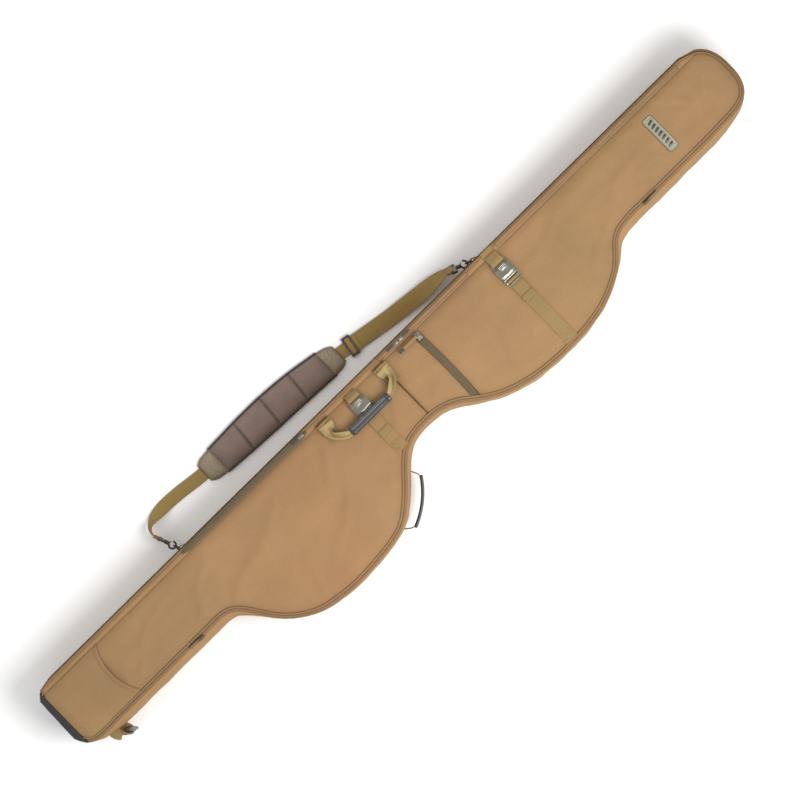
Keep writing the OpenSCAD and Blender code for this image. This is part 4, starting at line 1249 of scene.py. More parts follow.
def shape_female(x0, yb):
    def f(co):
        co = co.copy()
        u, x, z = co[:, 1] - yb, co[:, 0] - x0, co[:, 2] - 162.7
        top = 11 - 5.0 * sstep(u, 20, 36) - 1.7 * np.abs(x / 19.5) ** 2.4 - 1.3 * (1 - sstep(u, 0, 6))
        z2 = z * top / 11
        z2 += np.where(z > 9, 0.5, 0) * np.cos(2 * math.pi * u / 3.2) * sstep(u, 20, 22) * (1 - sstep(u, 27, 29)) * (np.abs(x) < 9)
        z2 -= np.where(z > 9, 0.9, 0) * np.exp(-((x / 8.5) ** 2 + ((u - 12) / 6.5) ** 2) ** 2)
        co[:, 2] = z2 + 162.7
        co[:, 0] = x0 + x * (1 - 0.10 * sstep(u, 20, 31) - 0.05 * (1 - sstep(u, 0, 6)))
        return co
    return f


def shape_male(x0, yb):
    def f(co):
        co = co.copy()
        u, x, z = co[:, 1] - yb, co[:, 0] - x0, co[:, 2] - 163.1
        top = 9.6 - 4.0 * sstep(-u, 2, 13) - 1.4 * np.abs(x / 19.5) ** 2.4 * (u < -0.3)
        co[:, 2] = 163.1 + np.where(u < -0.3, z * top / 9.6, z)
        co[:, 0] = x0 + x * np.where(u < -0.3, 1 - 0.07 * sstep(-u, 8, 17), 1)
        return co
    return f


VB = 0.5
for nm, x0, yb, body in (("upper", 340.0, 14.0, "buckle_upper"), ("waist", -67.5, 23.0, "buckle_waist")):
    soften(f"{nm}_buckle_female", f"{nm}_buckle_socket", VB, "buckle", "lid", smooth=3, shape=shape_female(x0, yb))
    soften(f"{nm}_buckle_male", f"{nm}_buckle_prongs", VB, "buckle", body, smooth=3, shape=shape_male(x0, yb))

# ------------------------------------------------------------------ front handle
HX, HY, HZ = -66.0, 66.0, 164.9
anch = Bag()
for s in (-1, 1):
    cx = HX + s * 82
    anch.add(draped(np.array([(cx, y) for y in np.linspace(69.5, 20.5, 26)]), 37.0, 1.7, 0.9), 0)
    for r in box_x(cx - 14, cx + 14, 25, 56, 1.9):
        anch.add(stitch_data(r), 1)
    # sewn knuckle round the handle's rod
    a = np.radians(np.linspace(250, -110, 22))
    ring = [(cx, HY + 2.75 * math.cos(t), HZ + 2.75 * math.sin(t)) for t in a]
    path = [(cx, 69.6, 161.6)] + [tuple(q) for q in ring] + [(cx, 62.0, 161.7)]
    anch.add(ribbon_data(np.array(path), 19.6, 1.4, side=(1, 0, 0)), 0)
anch.make("handle_anchor_cloth", ["web", "threadweb"], "lid", replaces=("handle_anchors",), slot="webbing_tan")


def leg_section(w, ang, t):
    """Webbing folded lengthwise; w is half its width, ang the rise of each half."""
    c, s_ = math.cos(math.radians(ang)), math.sin(math.radians(ang))
    q = np.linspace(-w, w, 17)
    px = q * c
    pz = s_ * (np.sqrt(q * q + 3.0) - math.sqrt(3.0))
    tx, tz = np.gradient(px), np.gradient(pz)
    ln = np.hypot(tx, tz)
    nx, nz = -tz / ln, tx / ln
    lo = [(px[i] - nx[i] * t / 2, pz[i] - nz[i] * t / 2) for i in range(len(q))]
    hi = [(px[i] + nx[i] * t / 2, pz[i] + nz[i] * t / 2) for i in range(len(q))]
    return lo + hi[::-1]


hb = Bag()
for s in (-1, 1):
    st = [(82, 61.6, 164.7, 16.6, 0), (82.6, 56, 164.7, 16.6, 8), (84.2, 50.5, 165.0, 16.4, 22), (86.2, 45, 165.7, 16.2, 40), (86.8, 39.5, 166.9, 16.0, 54), (85.2, 33.5, 169.0, 15.6, 63),
          (80.6, 27, 172.2, 14.8, 64), (73.4, 20.6, 175.6, 13.2, 57), (65.2, 14.8, 178.0, 11.0, 49), (57.0, 11.4, 179.2, 8.6, 43), (49.0, 10.6, 179.2, 7.6, 40)]
    c = curve([(HX + s * q[0], q[1], q[2], q[3], q[4]) for q in st], 5)
    path = c[:, :3]
    tg = frames(path)
    sd = np.cross([0, 0, 1.0], tg)
    sd /= np.linalg.norm(sd, axis=1, keepdims=True)
    up = np.cross(tg, sd)
    v, f, u = sweep_data(path, sd, up, lambda i: leg_section(c[i, 3], c[i, 4], 1.7))
    hb.v += [tuple(q) for q in v]
    off = len(hb.v) - len(v)
    for q in f:
        hb.f.append(tuple(i + off for i in q))
    hb.u += [(a, b + 100) for a, b in u]
    ns = 34
    # the upper faces of each leg take the paler, painted-light webbing
    for i in range(len(path) - 1):
        hb.m += [0 if k < 17 else 1 for k in range(ns)]
    hb.m += [0, 0]
    # rolled knuckles on the rod
    for k in (-1, 1):
        xk = HX + s * 82 + k * 13.6
        ang = np.radians(np.linspace(-150, 190, 20))
        ring = [(xk, HY + 2.3 * math.cos(t), HZ + 2.3 * math.sin(t)) for t in ang]
        hb.add(ribbon_data(np.array([tuple(q) for q in ring] + [(xk, 61.0, 164.6)]), 6.2, 1.3, side=(-1, 0, 0)), 0)
    for dx in (-13.2, 13.2):
        row = [(HX + s * 82 + dx, y, 165.7 + 0.1 * (54 - y) * (y < 54) * 0.3) for y in np.linspace(60, 47, 6)]
        hb.add(stitch_data(np.array(row)), 2)
    hb.add(stitch_data(np.array([(HX + s * 82 + a, 58.6, 165.6) for a in np.linspace(-13, 13, 7)])), 2)
legs = hb.make("front_handle_web", ["web", "web_lit", "threadweb"], "front_handle", replaces=("handle_webbing",), slot="webbing_tan")


def grip_section(w, h, groove, n=96):
    out = []
    r = h / 2
    for k in range(n):
        a = 2 * math.pi * k / n
        cx, sy = math.cos(a), math.sin(a)
        # superellipse close to a stadium
        px = math.copysign(abs(cx) ** 0.62, cx) * w / 2
        py = math.copysign(abs(sy) ** 0.80, sy) * r
        g = groove * 0.5 * (1 - math.cos(2 * math.pi * (px / (w / 5.2)))) * min(1.0, abs(sy) * 1.6)
        out.append((px, py - math.copysign(g, sy) * 0.55))
    return out


def grip(name, path, side, up, w, h, groove, mat, body, replaces, ends=6.0, slot="moulded_rubber"):
    path = np.asarray(path, float)
    seg = np.concatenate([[0], np.cumsum(np.linalg.norm(np.diff(path, axis=0), axis=1))])
    L = seg[-1]

    def sec(i):
        e = min(seg[i], L - seg[i])
        k = 1.0 if e > ends else (0.80 + 0.20 * math.sqrt(max(0.0, 1 - (1 - e / ends) ** 2)))
        lip = 0.5 * math.exp(-((e - ends * 1.1) / 1.6) ** 2)
        return [(a * k + math.copysign(lip, a), b * k + math.copysign(lip, b)) for a, b in grip_section(w, h, groove * (1 if e > ends else 0.3))]
    v, f, u = sweep_data(path, side, up, sec)
    return make(name, v, f, mat, body, uv=u, replaces=replaces, slot=slot)


gx = np.concatenate([np.linspace(-55, -47, 14), np.linspace(-46, 46, 40), np.linspace(47, 55, 14)])
gp = np.array([(HX + a, 10.6, HZ + 16.4 - 0.0 * a) for a in gx])
sd = np.tile([0, 1.0, 0], (len(gp), 1))
upv = np.cross(frames(gp), sd)
grip("front_handle_grip", gp, sd, upv, 19.2, 10.8, 1.4, "rubber", "front_handle", ("handle_grip",))

# ------------------------------------------------------------------ badge, blank
bw, bl, br = 13.0, 44.0, 6.0
BX, BY = 767.0, 4.0
bpoly = []
for cx, cy, a0 in ((bw - br, bl - br, 0), (-(bw - br), bl - br, 90), (-(bw - br), -(bl - br), 180), (bw - br, -(bl - br), 270)):
    for k in range(9):
        a = math.radians(a0 + k * 90 / 8)
        bpoly.append((BX + cx + br * math.cos(a), BY + cy + br * math.sin(a)))
bpoly = np.array(bpoly)
gxx, gyy = np.meshgrid(np.linspace(BX - 13, BX + 13, 9), np.linspace(BY - 44, BY + 44, 23))
bg = np.stack([gxx.ravel(), gyy.ravel()], 1)
bc = front_h(bg)
A = np.column_stack([np.ones(len(bg)), bg[:, 0] - BX, bg[:, 1] - BY, (bg[:, 1] - BY) ** 2])
co_b = np.linalg.lstsq(A, bc, rcond=None)[0]
co_b[0] += max(0.0, float((bc - A @ co_b).max())) * 0.8


def badge_base(v):
    return np.column_stack([np.ones(len(v)), v[:, 0] - BX, v[:, 1] - BY, (v[:, 1] - BY) ** 2]) @ co_b


def badge_top(v, d):
    rim = 0.75 * (1 - sstep(d, 2.0, 3.0)) * sstep(d, -0.1, 0.8)
    return badge_base(v) + 0.9 + rim + 0.35 * sstep(d, 4, 9)


bd = slab("badge_blank", bpoly, badge_top, lambda v, d: badge_base(v) - 0.6, 1.1, ["badge", "badgerim"], "lid", replaces=("badge",), slot="badge_rubber")
pc = np.zeros(len(bd.data.polygons) * 3)
bd.data.polygons.foreach_get("center", pc)
pc = pc.reshape(-1, 3) / MM
dd = edge_dist(pc[:, :2], bpoly)
bd.data.polygons.foreach_set("material_index", np.where(dd < 1.7, 1, 0).astype(np.int32))
# a plain row of raised bars
bars = Bag()
for k in range(7):
    cy = BY + (k - 3) * 10.2
    q = []
    for cx_, cy_, a0 in ((4.6, 1.1, 0), (-4.6, 1.1, 90), (-4.6, -1.1, 180), (4.6, -1.1, 270)):
        for j in range(5):
            a = math.radians(a0 + j * 22.5)
            q.append((BX + cx_ + 1.5 * math.cos(a), cy + cy_ + 1.5 * math.sin(a) + 0.28 * (cx_)))
    q = np.array(q)
    zb = badge_base(q)
    n_ = len(q)
    vv = [(*p, z + 0.6) for p, z in zip(q, zb)] + [(*p, z + 1.75) for p, z in zip(q, zb)] + [(*(q.mean(0) + (p - q.mean(0)) * 0.86), z + 2.05) for p, z in zip(q, zb)]
    ff = [(i, (i + 1) % n_, (i + 1) % n_ + n_, i + n_) for i in range(n_)] + [(i + n_, (i + 1) % n_ + n_, (i + 1) % n_ + 2 * n_, i + 2 * n_) for i in range(n_)]
    ff += [tuple(range(2 * n_, 3 * n_)), tuple(reversed(range(n_)))]
    bars.add((vv, ff, [(p[0], p[1]) for p in vv]), 0)
bars.make("badge_bars", ["rubber"], "lid", slot="badge_rubber")

# ------------------------------------------------------------------ moulded base cap
soften("base_cap", "base_cap_moulded", 1.25, "rubbercap", "tub", smooth=3)

# ------------------------------------------------------------------ D rings, hooks, eyes
BAR = 96.4
UP = np.array([312.0, BAR, 40.0])
LOW = np.array([-556.0, BAR, 40.0])
tb = Bag()
for b in (UP, LOW):
    a = np.radians(np.linspace(-80, -285, 16))
    ring = [(b[0] + 3.0 * math.cos(t), b[1] + 3.0 * math.sin(t), 40.0) for t in a]
    path = [(b[0] + 37.0, 91.0, 40), (b[0] + 24, 91.0, 40), (b[0] + 12, 91.1, 40), (b[0] + 5, 92.1, 40)] + ring + [(b[0] + 4.5, 99.0, 40), (b[0] + 10, 96.4, 40), (b[0] + 16, 93.6, 40), (b[0] + 26, 92.6, 40), (b[0] + 37.5, 92.5, 40)]
    tb.add(ribbon_data(np.array(path, float), 19.6, 1.4, side=(0, 0, 1)), 0)
    for z in (33.5, 46.5):
        tb.add(stitch_data(np.array([(b[0] + x, 93.3, z) for x in np.linspace(18, 35, 7)]), up=(0, 1, 0)), 1)
    for x in (18.0, 35.0):
        tb.add(stitch_data(np.array([(b[0] + x, 93.3, z) for z in np.linspace(33.5, 46.5, 6)]), up=(0, 1, 0)), 1)
    for k in (-1, 1):
        tb.add(stitch_data(np.array([(b[0] + 18 + 17 * t, 93.3, 40 + k * (-6.5 + 13 * t)) for t in np.linspace(0, 1, 8)]), up=(0, 1, 0)), 1)
tb.make("dring_tab_cloth", ["web", "threadweb"], "tub", replaces=("dring_tabs",), slot="webbing_tan")
VH = 0.38
for w in ("upper", "lower"):
    soften(f"dring_{w}", f"dring_{w}_steel", VH, "metal", f"ring_{w}", smooth=3)
    soften(f"snap_hook_{w}", f"snap_hook_{w}_moulded", VH, "blackpl", f"hook_{w}", smooth=3)
    soften(f"hook_gate_{w}", f"hook_gate_{w}_steel", VH * 0.7, "metal", f"gate_{w}", smooth=2)
    soften(f"hook_eye_{w}", f"hook_eye_{w}_moulded", VH, "blackpl", f"eye_{w}", smooth=3)
soften("strap_slider", "strap_slider_moulded", VH, "blackpl", "slider_bar", smooth=3)

# ------------------------------------------------------------------ shoulder strap
EYE = 35.0
LD, UD = math.radians(110.0), math.radians(160.0)
ld = np.array([math.cos(LD), math.sin(LD), 0])
ud = np.array([math.cos(UD), math.sin(UD), 0])
ls, lm = LOW + ld * (EYE + 12.6), LOW + ld * (EYE + 19)
us, um = UP + ud * (EYE + 13.4), UP + ud * (EYE + 20)
LOWR = [(ls[0], ls[1], 40, 90), (lm[0], lm[1], 40, 90), (-575, 155, 38, 86), (-574, 162, 34, 78), (-570, 169, 28.5, 66), (-563, 175, 22, 52), (-553, 180, 15.5, 38), (-541, 183, 9.5, 24),
        (-528, 184.5, 5, 12), (-514, 184.8, 2.4, 4), (-500, 184.4, 1.6, 0), (-470, 182, 1.6, 0), (-430, 177, 1.6, 0), (-390, 174, 1.6, 0), (-340, 172.5, 1.6, 0), (-290, 172, 1.6, 0),
        (-240, 171, 1.6, 0), (-190, 169.5, 1.6, 0), (-140, 166.5, 1.6, 0), (-90, 161.5, 1.6, 0), (-55, 158, 1.6, 0), (-24, 153.9, 1.6, 0), (-9, 151.5, 3.3, 0), (10, 148.4, 3.5, 0), (36, 144.2, 3.5, 0)]
UPR = [(us[0], us[1], 40, 65), (um[0], um[1], 40, 65), (249, 118, 37.5, 56), (235, 120, 33, 44), (218, 121.5, 27.5, 31), (198, 123, 21.5, 19), (176, 125, 16, 9), (150, 128, 11.5, 2),
       (124, 131, 8, 0), (100, 134, 6.2, 0), (80, 137.2, 6, 0), (55, 141.2, 6, 0), (30, 145.2, 6, 0), (10, 148.4, 6, 0), (-2, 150.4, 6, 0)]
low_c = curve(LOWR, 4)
up_c = curve(UPR, 4)
sb = Bag()
sb.add(ribbon_data(low_c[:, :3], 29.6, 1.7, tilt=-low_c[:, 3]), 0)
sb.add(ribbon_data(up_c[:, :3], 37.4, 1.7, tilt=up_c[:, 3]), 0)


def edge_rows(c, half, tilt_sign, lo, hi, z_off=0.95):
    """Stitch rows along both edges of flat parts of the strap."""
    rows = []
    p = c[:, :3]
    tg = frames(p)
    s0 = np.cross([0, 0, 1.0], tg)
    s0 /= np.linalg.norm(s0, axis=1, keepdims=True)
    u0 = np.cross(tg, s0)
    a = np.radians(c[:, 3] * tilt_sign)[:, None]
    sd_ = s0 * np.cos(a) + u0 * np.sin(a)
    up_ = np.cross(tg, sd_)
    k = (c[:, 0] >= lo) & (c[:, 0] <= hi)
    for h in (-half, half):
        rows.append((p + sd_ * h + up_ * z_off)[k])
    return rows, up_[k]


rows, ups = edge_rows(up_c, 15.4, 1, 20, 66)
for r in rows:
    sb.add(stitch_data(r, up=(0, 0, 1)), 1)
u1 = np.array([math.cos(math.radians(-9.2)), math.sin(math.radians(-9.2)), 0])
n1 = np.array([-u1[1], u1[0], 0])
for t in (22.0, 62.0):
    base = np.array([4, 149.3, 0]) + u1 * t
    sb.add(stitch_data(np.array([base + n1 * w + np.array([0, 0, 6.95]) for w in np.linspace(-15, 15, 8)])), 1)
strap = sb.make("shoulder_strap_web", ["shweb", "threadweb"], "tub", replaces=("shoulder_strap_lower", "shoulder_strap_upper"), slot="webbing_shoulder")


def eye_loop(name, base, d, tilt, width, body):
    """Strap end passed through the eye and sewn back on itself."""
    d = np.asarray(d, float)
    t = math.radians(tilt)
    lat = np.array([-d[1], d[0], 0])
    zz = np.array([0, 0, 1.0])
    nrm = lat * math.cos(t) + zz * math.sin(t)
    wid = -lat * math.sin(t) + zz * math.cos(t)
    prof = [(25.0, 1.9), (20.0, 1.95), (15.5, 2.2), (12.6, 3.1), (10.2, 3.4), (8.0, 2.9), (6.6, 1.4), (6.2, 0.0), (6.6, -1.4), (8.0, -2.9), (10.2, -3.4), (12.6, -3.1), (15.5, -2.2), (20.0, -1.95), (25.0, -1.9)]
    c = curve(prof, 4)
    path = np.array([base + d * (EYE + q[0]) + nrm * q[1] for q in c])
    b = Bag()
    b.add(ribbon_data(path, width, 1.5, side=wid), 0)
    for sgn in (-1, 1):
        for l in (17.5, 22.5):
            b.add(stitch_data(np.array([base + d * (EYE + l) + nrm * (sgn * 2.75) + wid * w for w in np.linspace(-width / 2 + 3, width / 2 - 3, 7)]), up=tuple(nrm * sgn)), 1)
    return b.make(name, ["shweb", "threadweb"], body, slot="webbing_shoulder")


# the wide webbing turns round the slider's middle bar
wrap = [(20.0, 6.9), (13.0, 6.9), (8.6, 6.9), (5.6, 7.6), (4.6, 9.4), (3.6, 11.1), (1.4, 11.7), (-1.4, 11.7), (-3.6, 11.1), (-4.6, 9.4), (-4.9, 7.4), (-3.4, 6.0), (-0.5, 5.6)]
wc = curve(wrap, 4)
wl = np.array([4, 149.3, 0]) + u1 * 0
wb = Bag()
wb.add(ribbon_data(np.array([wl + u1 * a + np.array([0, 0, z + 0.2]) for a, z in wc]), 37.0, 1.4, side=tuple(-n1)), 0)
wrap_o = wb.make("shoulder_slider_wrap", ["shweb"], "slider_bar", slot="webbing_shoulder")
loop_l = eye_loop("strap_loop_lower", LOW, ld, 0.0, 29.0, "eye_lower")
loop_u = eye_loop("strap_loop_upper", UP, ud, -25.0, 36.4, "eye_upper")

# pad: four crowned cells of air mesh in a dark binding, with a cloth cap at each end
PL = np.array([(-409, 174.4), (-367, 173), (-320, 172.4), (-270, 171.8), (-220, 170.6), (-165, 168), (-115, 164), (-63, 158.6), (-26, 155)])
PH = np.array([(-409, 26), (-395, 30), (-367, 33), (-290, 37), (-217, 38.5), (-140, 37), (-65, 33), (-40, 30), (-26, 26)])


def pad_poly(x0, x1, e=0.0, n=40):
    xs = np.linspace(x0, x1, n)
    c = np.interp(xs, PL[:, 0], PL[:, 1])
    h = np.interp(xs, PH[:, 0], PH[:, 1]) - e
    return np.vstack([np.stack([xs, c - h], 1), np.stack([xs, c + h], 1)[::-1]])


def chan(v):
    k = np.zeros(len(v))
    w = (v[:, 1] - np.interp(v[:, 0], PL[:, 0], PL[:, 1])) / 36.0
    for cx in (-137.0, -216.0, -293.0):
        k = np.maximum(k, gauss(v[:, 0] - cx - 3.0 * w + 1.6 * w * w, 2.7))
    return k


def pad_top(v, d):
    k = chan(v)
    wide = np.zeros(len(v))
    for cx in (-137.0, -216.0, -293.0):
        w = (v[:, 1] - np.interp(v[:, 0], PL[:, 0], PL[:, 1])) / 36.0
        wide = np.maximum(wide, gauss(v[:, 0] - cx - 3.0 * w + 1.6 * w * w, 12.0))
    h = 6.0 + 13.2 * (1 - np.exp(-(d / 8.5) ** 1.15))
    h -= 3.0 * wide * (1 - np.exp(-(d / 8.0) ** 2)) + 5.4 * k * (1 - np.exp(-(d / 5.5) ** 2))
    for ex in (-366.5, -63.5):
        h -= 4.0 * gauss(v[:, 0] - ex, 7.0) * sstep(d, 0.5, 7)
    h += (1 - np.exp(-(d / 8.0) ** 2)) * 0.55 * fbm(np.column_stack([v, np.zeros(len(v))]), 22.0, 6.0, 3)
    h += 0.5 * gauss(d - 6, 5) * np.sin(v[:, 0] / 2.8 + 1.5 * np.sin(v[:, 0] / 13.0))
    return h


PS = 2.6
# painted shade: darker in the pad's channels and along its edge
pad = slab("shoulder_pad_mesh", pad_poly(-368.5, -61.5, 1.2), pad_top, lambda v, d: 4.2 - 1.1 * (1 - np.exp(-d / 4.0)), PS, ["mesh", "lining"], "tub", replaces=("shoulder_pad",), slot="air_mesh",
           crease_shade=lambda v, d: np.clip(0.8 * chan(v) + 0.4 * gauss(d, 2.5), 0, 1), bottom_mat=1)
bb = Bag()
for sgn in (-1, 1):
    xs = np.linspace(-370, -60, 120)
    c = np.interp(xs, PL[:, 0], PL[:, 1]) + sgn * (np.interp(xs, PH[:, 0], PH[:, 1]) - 0.6)
    p3 = np.column_stack([xs, c, np.full(len(xs), 6.2)])
    p3[:, 2] += 0.35 * fbm(p3, 14, 2.0, 2)
    s_, u_ = path_frames(p3[:, :2])
    bb.add(sweep_data(p3, s_, u_, lambda i: [(2.5 * math.cos(t), 3.2 * math.sin(t)) for t in np.linspace(0, 2 * math.pi, 11)[:-1]]), 0)
    bb.add(stitch_data(p3 + np.column_stack([s_[:, :2] * sgn * 1.9 * (1 if sgn > 0 else 1), np.full(len(p3), 2.6)]) * np.array([1, 1, 1])), 1)
pad_bind = bb.make("shoulder_pad_binding", ["binding", "threaddark"], "tub", slot="air_mesh")


def cap_shape(x0, x1, outer_left):
    p = pad_poly(x0, x1, 0.0, 26)
    q = []
    for a in p:
        e = (a[0] - x0) if outer_left else (x1 - a[0])
        c = np.interp(a[0], PL[:, 0], PL[:, 1])
        k = 1 - 0.16 * math.exp(-(e / 7.0) ** 1.4)
        q.append((a[0], c + (a[1] - c) * k))
    return np.array(q)


def cap_top(v, d):
    h = 5.2 + 11.2 * (1 - np.exp(-(d / 6.0) ** 1.1))
    h += 0.7 * fbm(np.column_stack([v, np.zeros(len(v))]), 13.0, 11.0, 3) * sstep(d, 1, 8)
    h += 0.9 * gauss(d - 2.2, 1.3)
    return np.minimum(h, 17.8)


for nm, x0, x1, left in (("a", -410.5, -365.0, True), ("b", -65.0, -25.0, False)):
    # painted shade: darker along the cap's stitch line and its edge
    slab(f"shoulder_pad_cap_{nm}", cap_shape(x0, x1, left), cap_top, lambda v, d: 4.0 - 1.0 * (1 - np.exp(-d / 3.0)), PS, ["cap", "lining"], "tub",
                     replaces=("pad_caps",) if nm == "a" else (), slot="webbing_shoulder", crease_shade=lambda v, d: np.clip(0.45 * gauss(d - 4.2, 1.0) + 0.3 * gauss(d, 1.5), 0, 1), bottom_mat=1)
cb = Bag()
for x0, x1, left in ((-410.5, -365.0, True), (-65.0, -25.0, False)):
    q = resample(cap_shape(x0, x1, left), 2.5, closed=True)
    q = np.vstack([q, q[:1]])
    c0 = q.mean(0)
    ins = q + (c0 - q) / np.linalg.norm(c0 - q, axis=1, keepdims=True) * 4.6
    cb.add(stitch_data(np.column_stack([ins, cap_top(ins, np.full(len(ins), 4.2)) + 0.25])), 0)
cap_st = cb.make("shoulder_pad_cap_stitch", ["threadweb"], "tub", slot="webbing_shoulder")

cp = [tuple(q) for q in low_c[:, :3]]
cut_i = next(i for i, q in enumerate(cp) if q[0] > 2)
cpath = cp[:cut_i] + [(8.0, 148.7, 4.6)] + [tuple(q) for q in up_c[::-1][:, :3] if q[0] > 14]
cpath = np.array(cpath) * MM
tuple(cpath[0])
[tuple(q) for q in cpath]

# ------------------------------------------------------------------ side handle
SA, SB = np.array([-186.0, -207.0]), np.array([-93.0, -130.0])
st_ = (SB - SA) / np.linalg.norm(SB - SA)
si_ = np.array([-st_[1], st_[0]])
sm_ = (SA + SB) / 2
SL = float(np.linalg.norm(SB - SA))


def side_pt(x, y, z):
    p = sm_ + st_ * x + si_ * y
    return (p[0], p[1], z)


ph = np.linspace(-17.4, 17.4, 44)
arc = np.array([side_pt(186 * math.sin(math.radians(a)), 153 - 186 * math.cos(math.radians(a)), 70.0) for a in ph])
tg = frames(arc)
zs = np.tile([0, 0, 1.0], (len(arc), 1))
grip("side_handle_rubber", arc, zs, np.cross(tg, zs), 37.0, 7.8, 0.9, "rubber", "side_grip", ("side_handle_grip",), ends=4.0)
for s in (-1, 1):
    tab = curve([side_pt(s * 61.5, 6.0, 70), side_pt(s * 60.8, -1.0, 70), side_pt(s * 59.6, -8.0, 70), side_pt(s * 57.8, -15.5, 70), side_pt(s * 54.5, -21.2, 70), side_pt(s * 50.0, -26.2, 70)], 5)
    b = Bag()
    b.add(ribbon_data(tab, 33.0, 1.7, side=(0, 0, 1)), 0)
    for z in (57.0, 83.0):
        pts = tab[4:20].copy()
        nn = np.cross(frames(pts), [0, 0, 1.0])
        for q in (-1, 1):
            row = pts + nn * 1.0 * q
            row[:, 2] = z
            b.add(stitch_data(row, up=tuple(nn[5] * q)), 1)
    o = b.make(f"side_handle_tab_{'a' if s < 0 else 'b'}", ["web", "threadweb"], None, replaces=("side_handle_webbing",) if s < 0 else (), slot="webbing_tan")
    p0, p1 = np.array(side_pt(s * 58.0, -11.0, 70)) * MM, np.array(side_pt(s * 54.5, -20.0, 70)) * MM
    if s < 0:
        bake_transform(o)
    else:
        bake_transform(o)

# ------------------------------------------------------------------ base handle
GB = np.array([-897.0, -104.0])
gd = np.array([math.cos(math.radians(-38)), math.sin(math.radians(-38)), 0])
gn = np.array([-gd[1], gd[0], 0])
gz = np.concatenate([np.linspace(30, 35, 8), np.linspace(36, 104, 26), np.linspace(105, 110, 8)])
gpth = np.array([(GB[0], GB[1], z) for z in gz])
grip("base_handle_rubber", gpth, np.tile(gd, (len(gpth), 1)), np.cross(np.tile([0, 0, 1.0], (len(gpth), 1)), np.tile(gd, (len(gpth), 1))), 31.4, 7.8, 1.1, "rubber", "base_grip", ("base_handle_grip",), ends=4.0)
wp, ws = [], []
for y, z, x, k, w in ((-83.0, 21.0, -912.0, 0, 23), (-89.0, 20.9, -911.0, 0.1, 23), (-95.0, 20.9, -907.5, 0.35, 24), (-100.0, 21.4, -902.5, 0.65, 25), (-103.2, 24.5, -898.4, 0.92, 27), (-104.0, 30.0, -897.0, 1.0, 29), (-104.0, 40.0, -897.0, 1.0, 29), (-104.0, 70.0, -897.0, 1.0, 29)):
    wp.append((x, y, z, k, w))
full_w = wp + [(x, y, 140 - z, k, w) for x, y, z, k, w in wp[::-1][1:]]
cw = curve(full_w, 4)
sides = np.array([np.array([1.0, 0, 0]) * (1 - q[3]) + gd * q[3] for q in cw])
b = Bag()
b.add(ribbon_data(cw[:, :3], cw[:, 4], 1.6, side=sides), 0)
o = b.make("base_handle_web", ["web"], None, replaces=("base_handle_webbing",), slot="webbing_tan")
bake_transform(o)

# ------------------------------------------------------------------ zip sliders and pullers
for node, nm, body, mats, pick in (
        ("main_zip_slider_lower", "main_zip_pull_lower", "main_slider_lower", ["bronze", "pulltan"], lambda c: 1 if c[0] < -650.5 else 0),
        ("main_zip_slider_upper", "main_zip_pull_upper", "main_slider_upper", ["bronze", "pulltan"], lambda c: 1 if c[0] > 660.5 else 0),
        ("side_pocket_zip_slider", "side_pocket_zip_pull", "side_slider", ["zipmetal", "rubber"], lambda c: 1 if c[0] < -208.0 else 0),
        ("sleeve_zip_slider_a", "sleeve_zip_pull_a", "sleeve_slider_a", ["zipmetal", "rubber"], lambda c: 1 if c[0] < 68.5 else 0),
        ("sleeve_zip_slider_b", "sleeve_zip_pull_b", "sleeve_slider_b", ["zipmetal", "rubber"], lambda c: 1 if c[0] > 93.0 else 0)):
    soften(node, nm, VH, mats, body, smooth=3, pick=pick)
soften("waist_zip_slider", "waist_zip_pull", VH, ["zipmetal", "web", "rubber"], "waist_slider", smooth=3,
       pick=lambda c: 0 if c[0] > 111 else (2 if c[0] < 78 else 1))

# ------------------------------------------------------------------ inside: divider, ties and end pockets
dp = clean(clip(clip(clip(clean(inset(OUT, 22)), 0, -940.0, True), 0, 920.0, False), 1, 72.0, False))
# painted shade: darker along the sunken quilting lines
dv = slab("divider_quilt", dp, lambda v, d: 73.6 + 2.3 * (1 - np.exp(-d / 6.0)) - 1.6 * quilt(v, 80.0, 4.5), lambda v, d: 70.4 - 2.3 * (1 - np.exp(-d / 6.0)) + 1.6 * quilt(v, 80.0, 4.5),
          8.0, "lining", "divider_flap", replaces=("divider",), slot="lining", crease_shade=lambda v, d: 0.5 * quilt(v, 80.0, 2.0))
dr = resample(dp, 9, closed=True)
dr = np.vstack([dr, dr[:1]])
s_, u_ = path_frames(dr)
Bag().add(sweep_data(np.column_stack([dr, np.full(len(dr), 72.0)]), s_, u_, lambda i: [(2.2 * math.cos(t) + 0.4, 2.7 * math.sin(t)) for t in np.linspace(0, 2 * math.pi, 10)[:-1]])).make(
    "divider_binding", ["binding"], "divider_flap", slot="lining")
tape = []
hx_ = np.linspace(-900, 890, 150)
prof = [(82.2, 70.4), (79.5, 70.8), (77.4, 70.1), (75.6, 69.6), (74.0, 70.4), (73.5, 72.0), (74.0, 73.6), (75.6, 74.4), (77.4, 73.9), (79.5, 73.2), (82.2, 73.4)]
hn = fbm(np.column_stack([hx_, hx_ * 0, hx_ * 0]), 25.0, 3.0, 2)
v, f, u = [], [], []
for i, x in enumerate(hx_):
    for k, (y, z) in enumerate(prof):
        v.append((x, y, z + 0.25 * hn[i]))
        u.append((x, y + z))
npf = len(prof)
for i in range(len(hx_) - 1):
    for k in range(npf):
        a, b_ = i * npf + k, i * npf + (k + 1) % npf
        f.append((a, b_, b_ + npf, a + npf))
f.append(tuple(reversed(range(npf))))
f.append(tuple(range((len(hx_) - 1) * npf, len(hx_) * npf)))
make("divider_hinge_fold", v, f, "strapblack", "tub", uv=u, replaces=("divider_hinge_tape",), slot="lining")

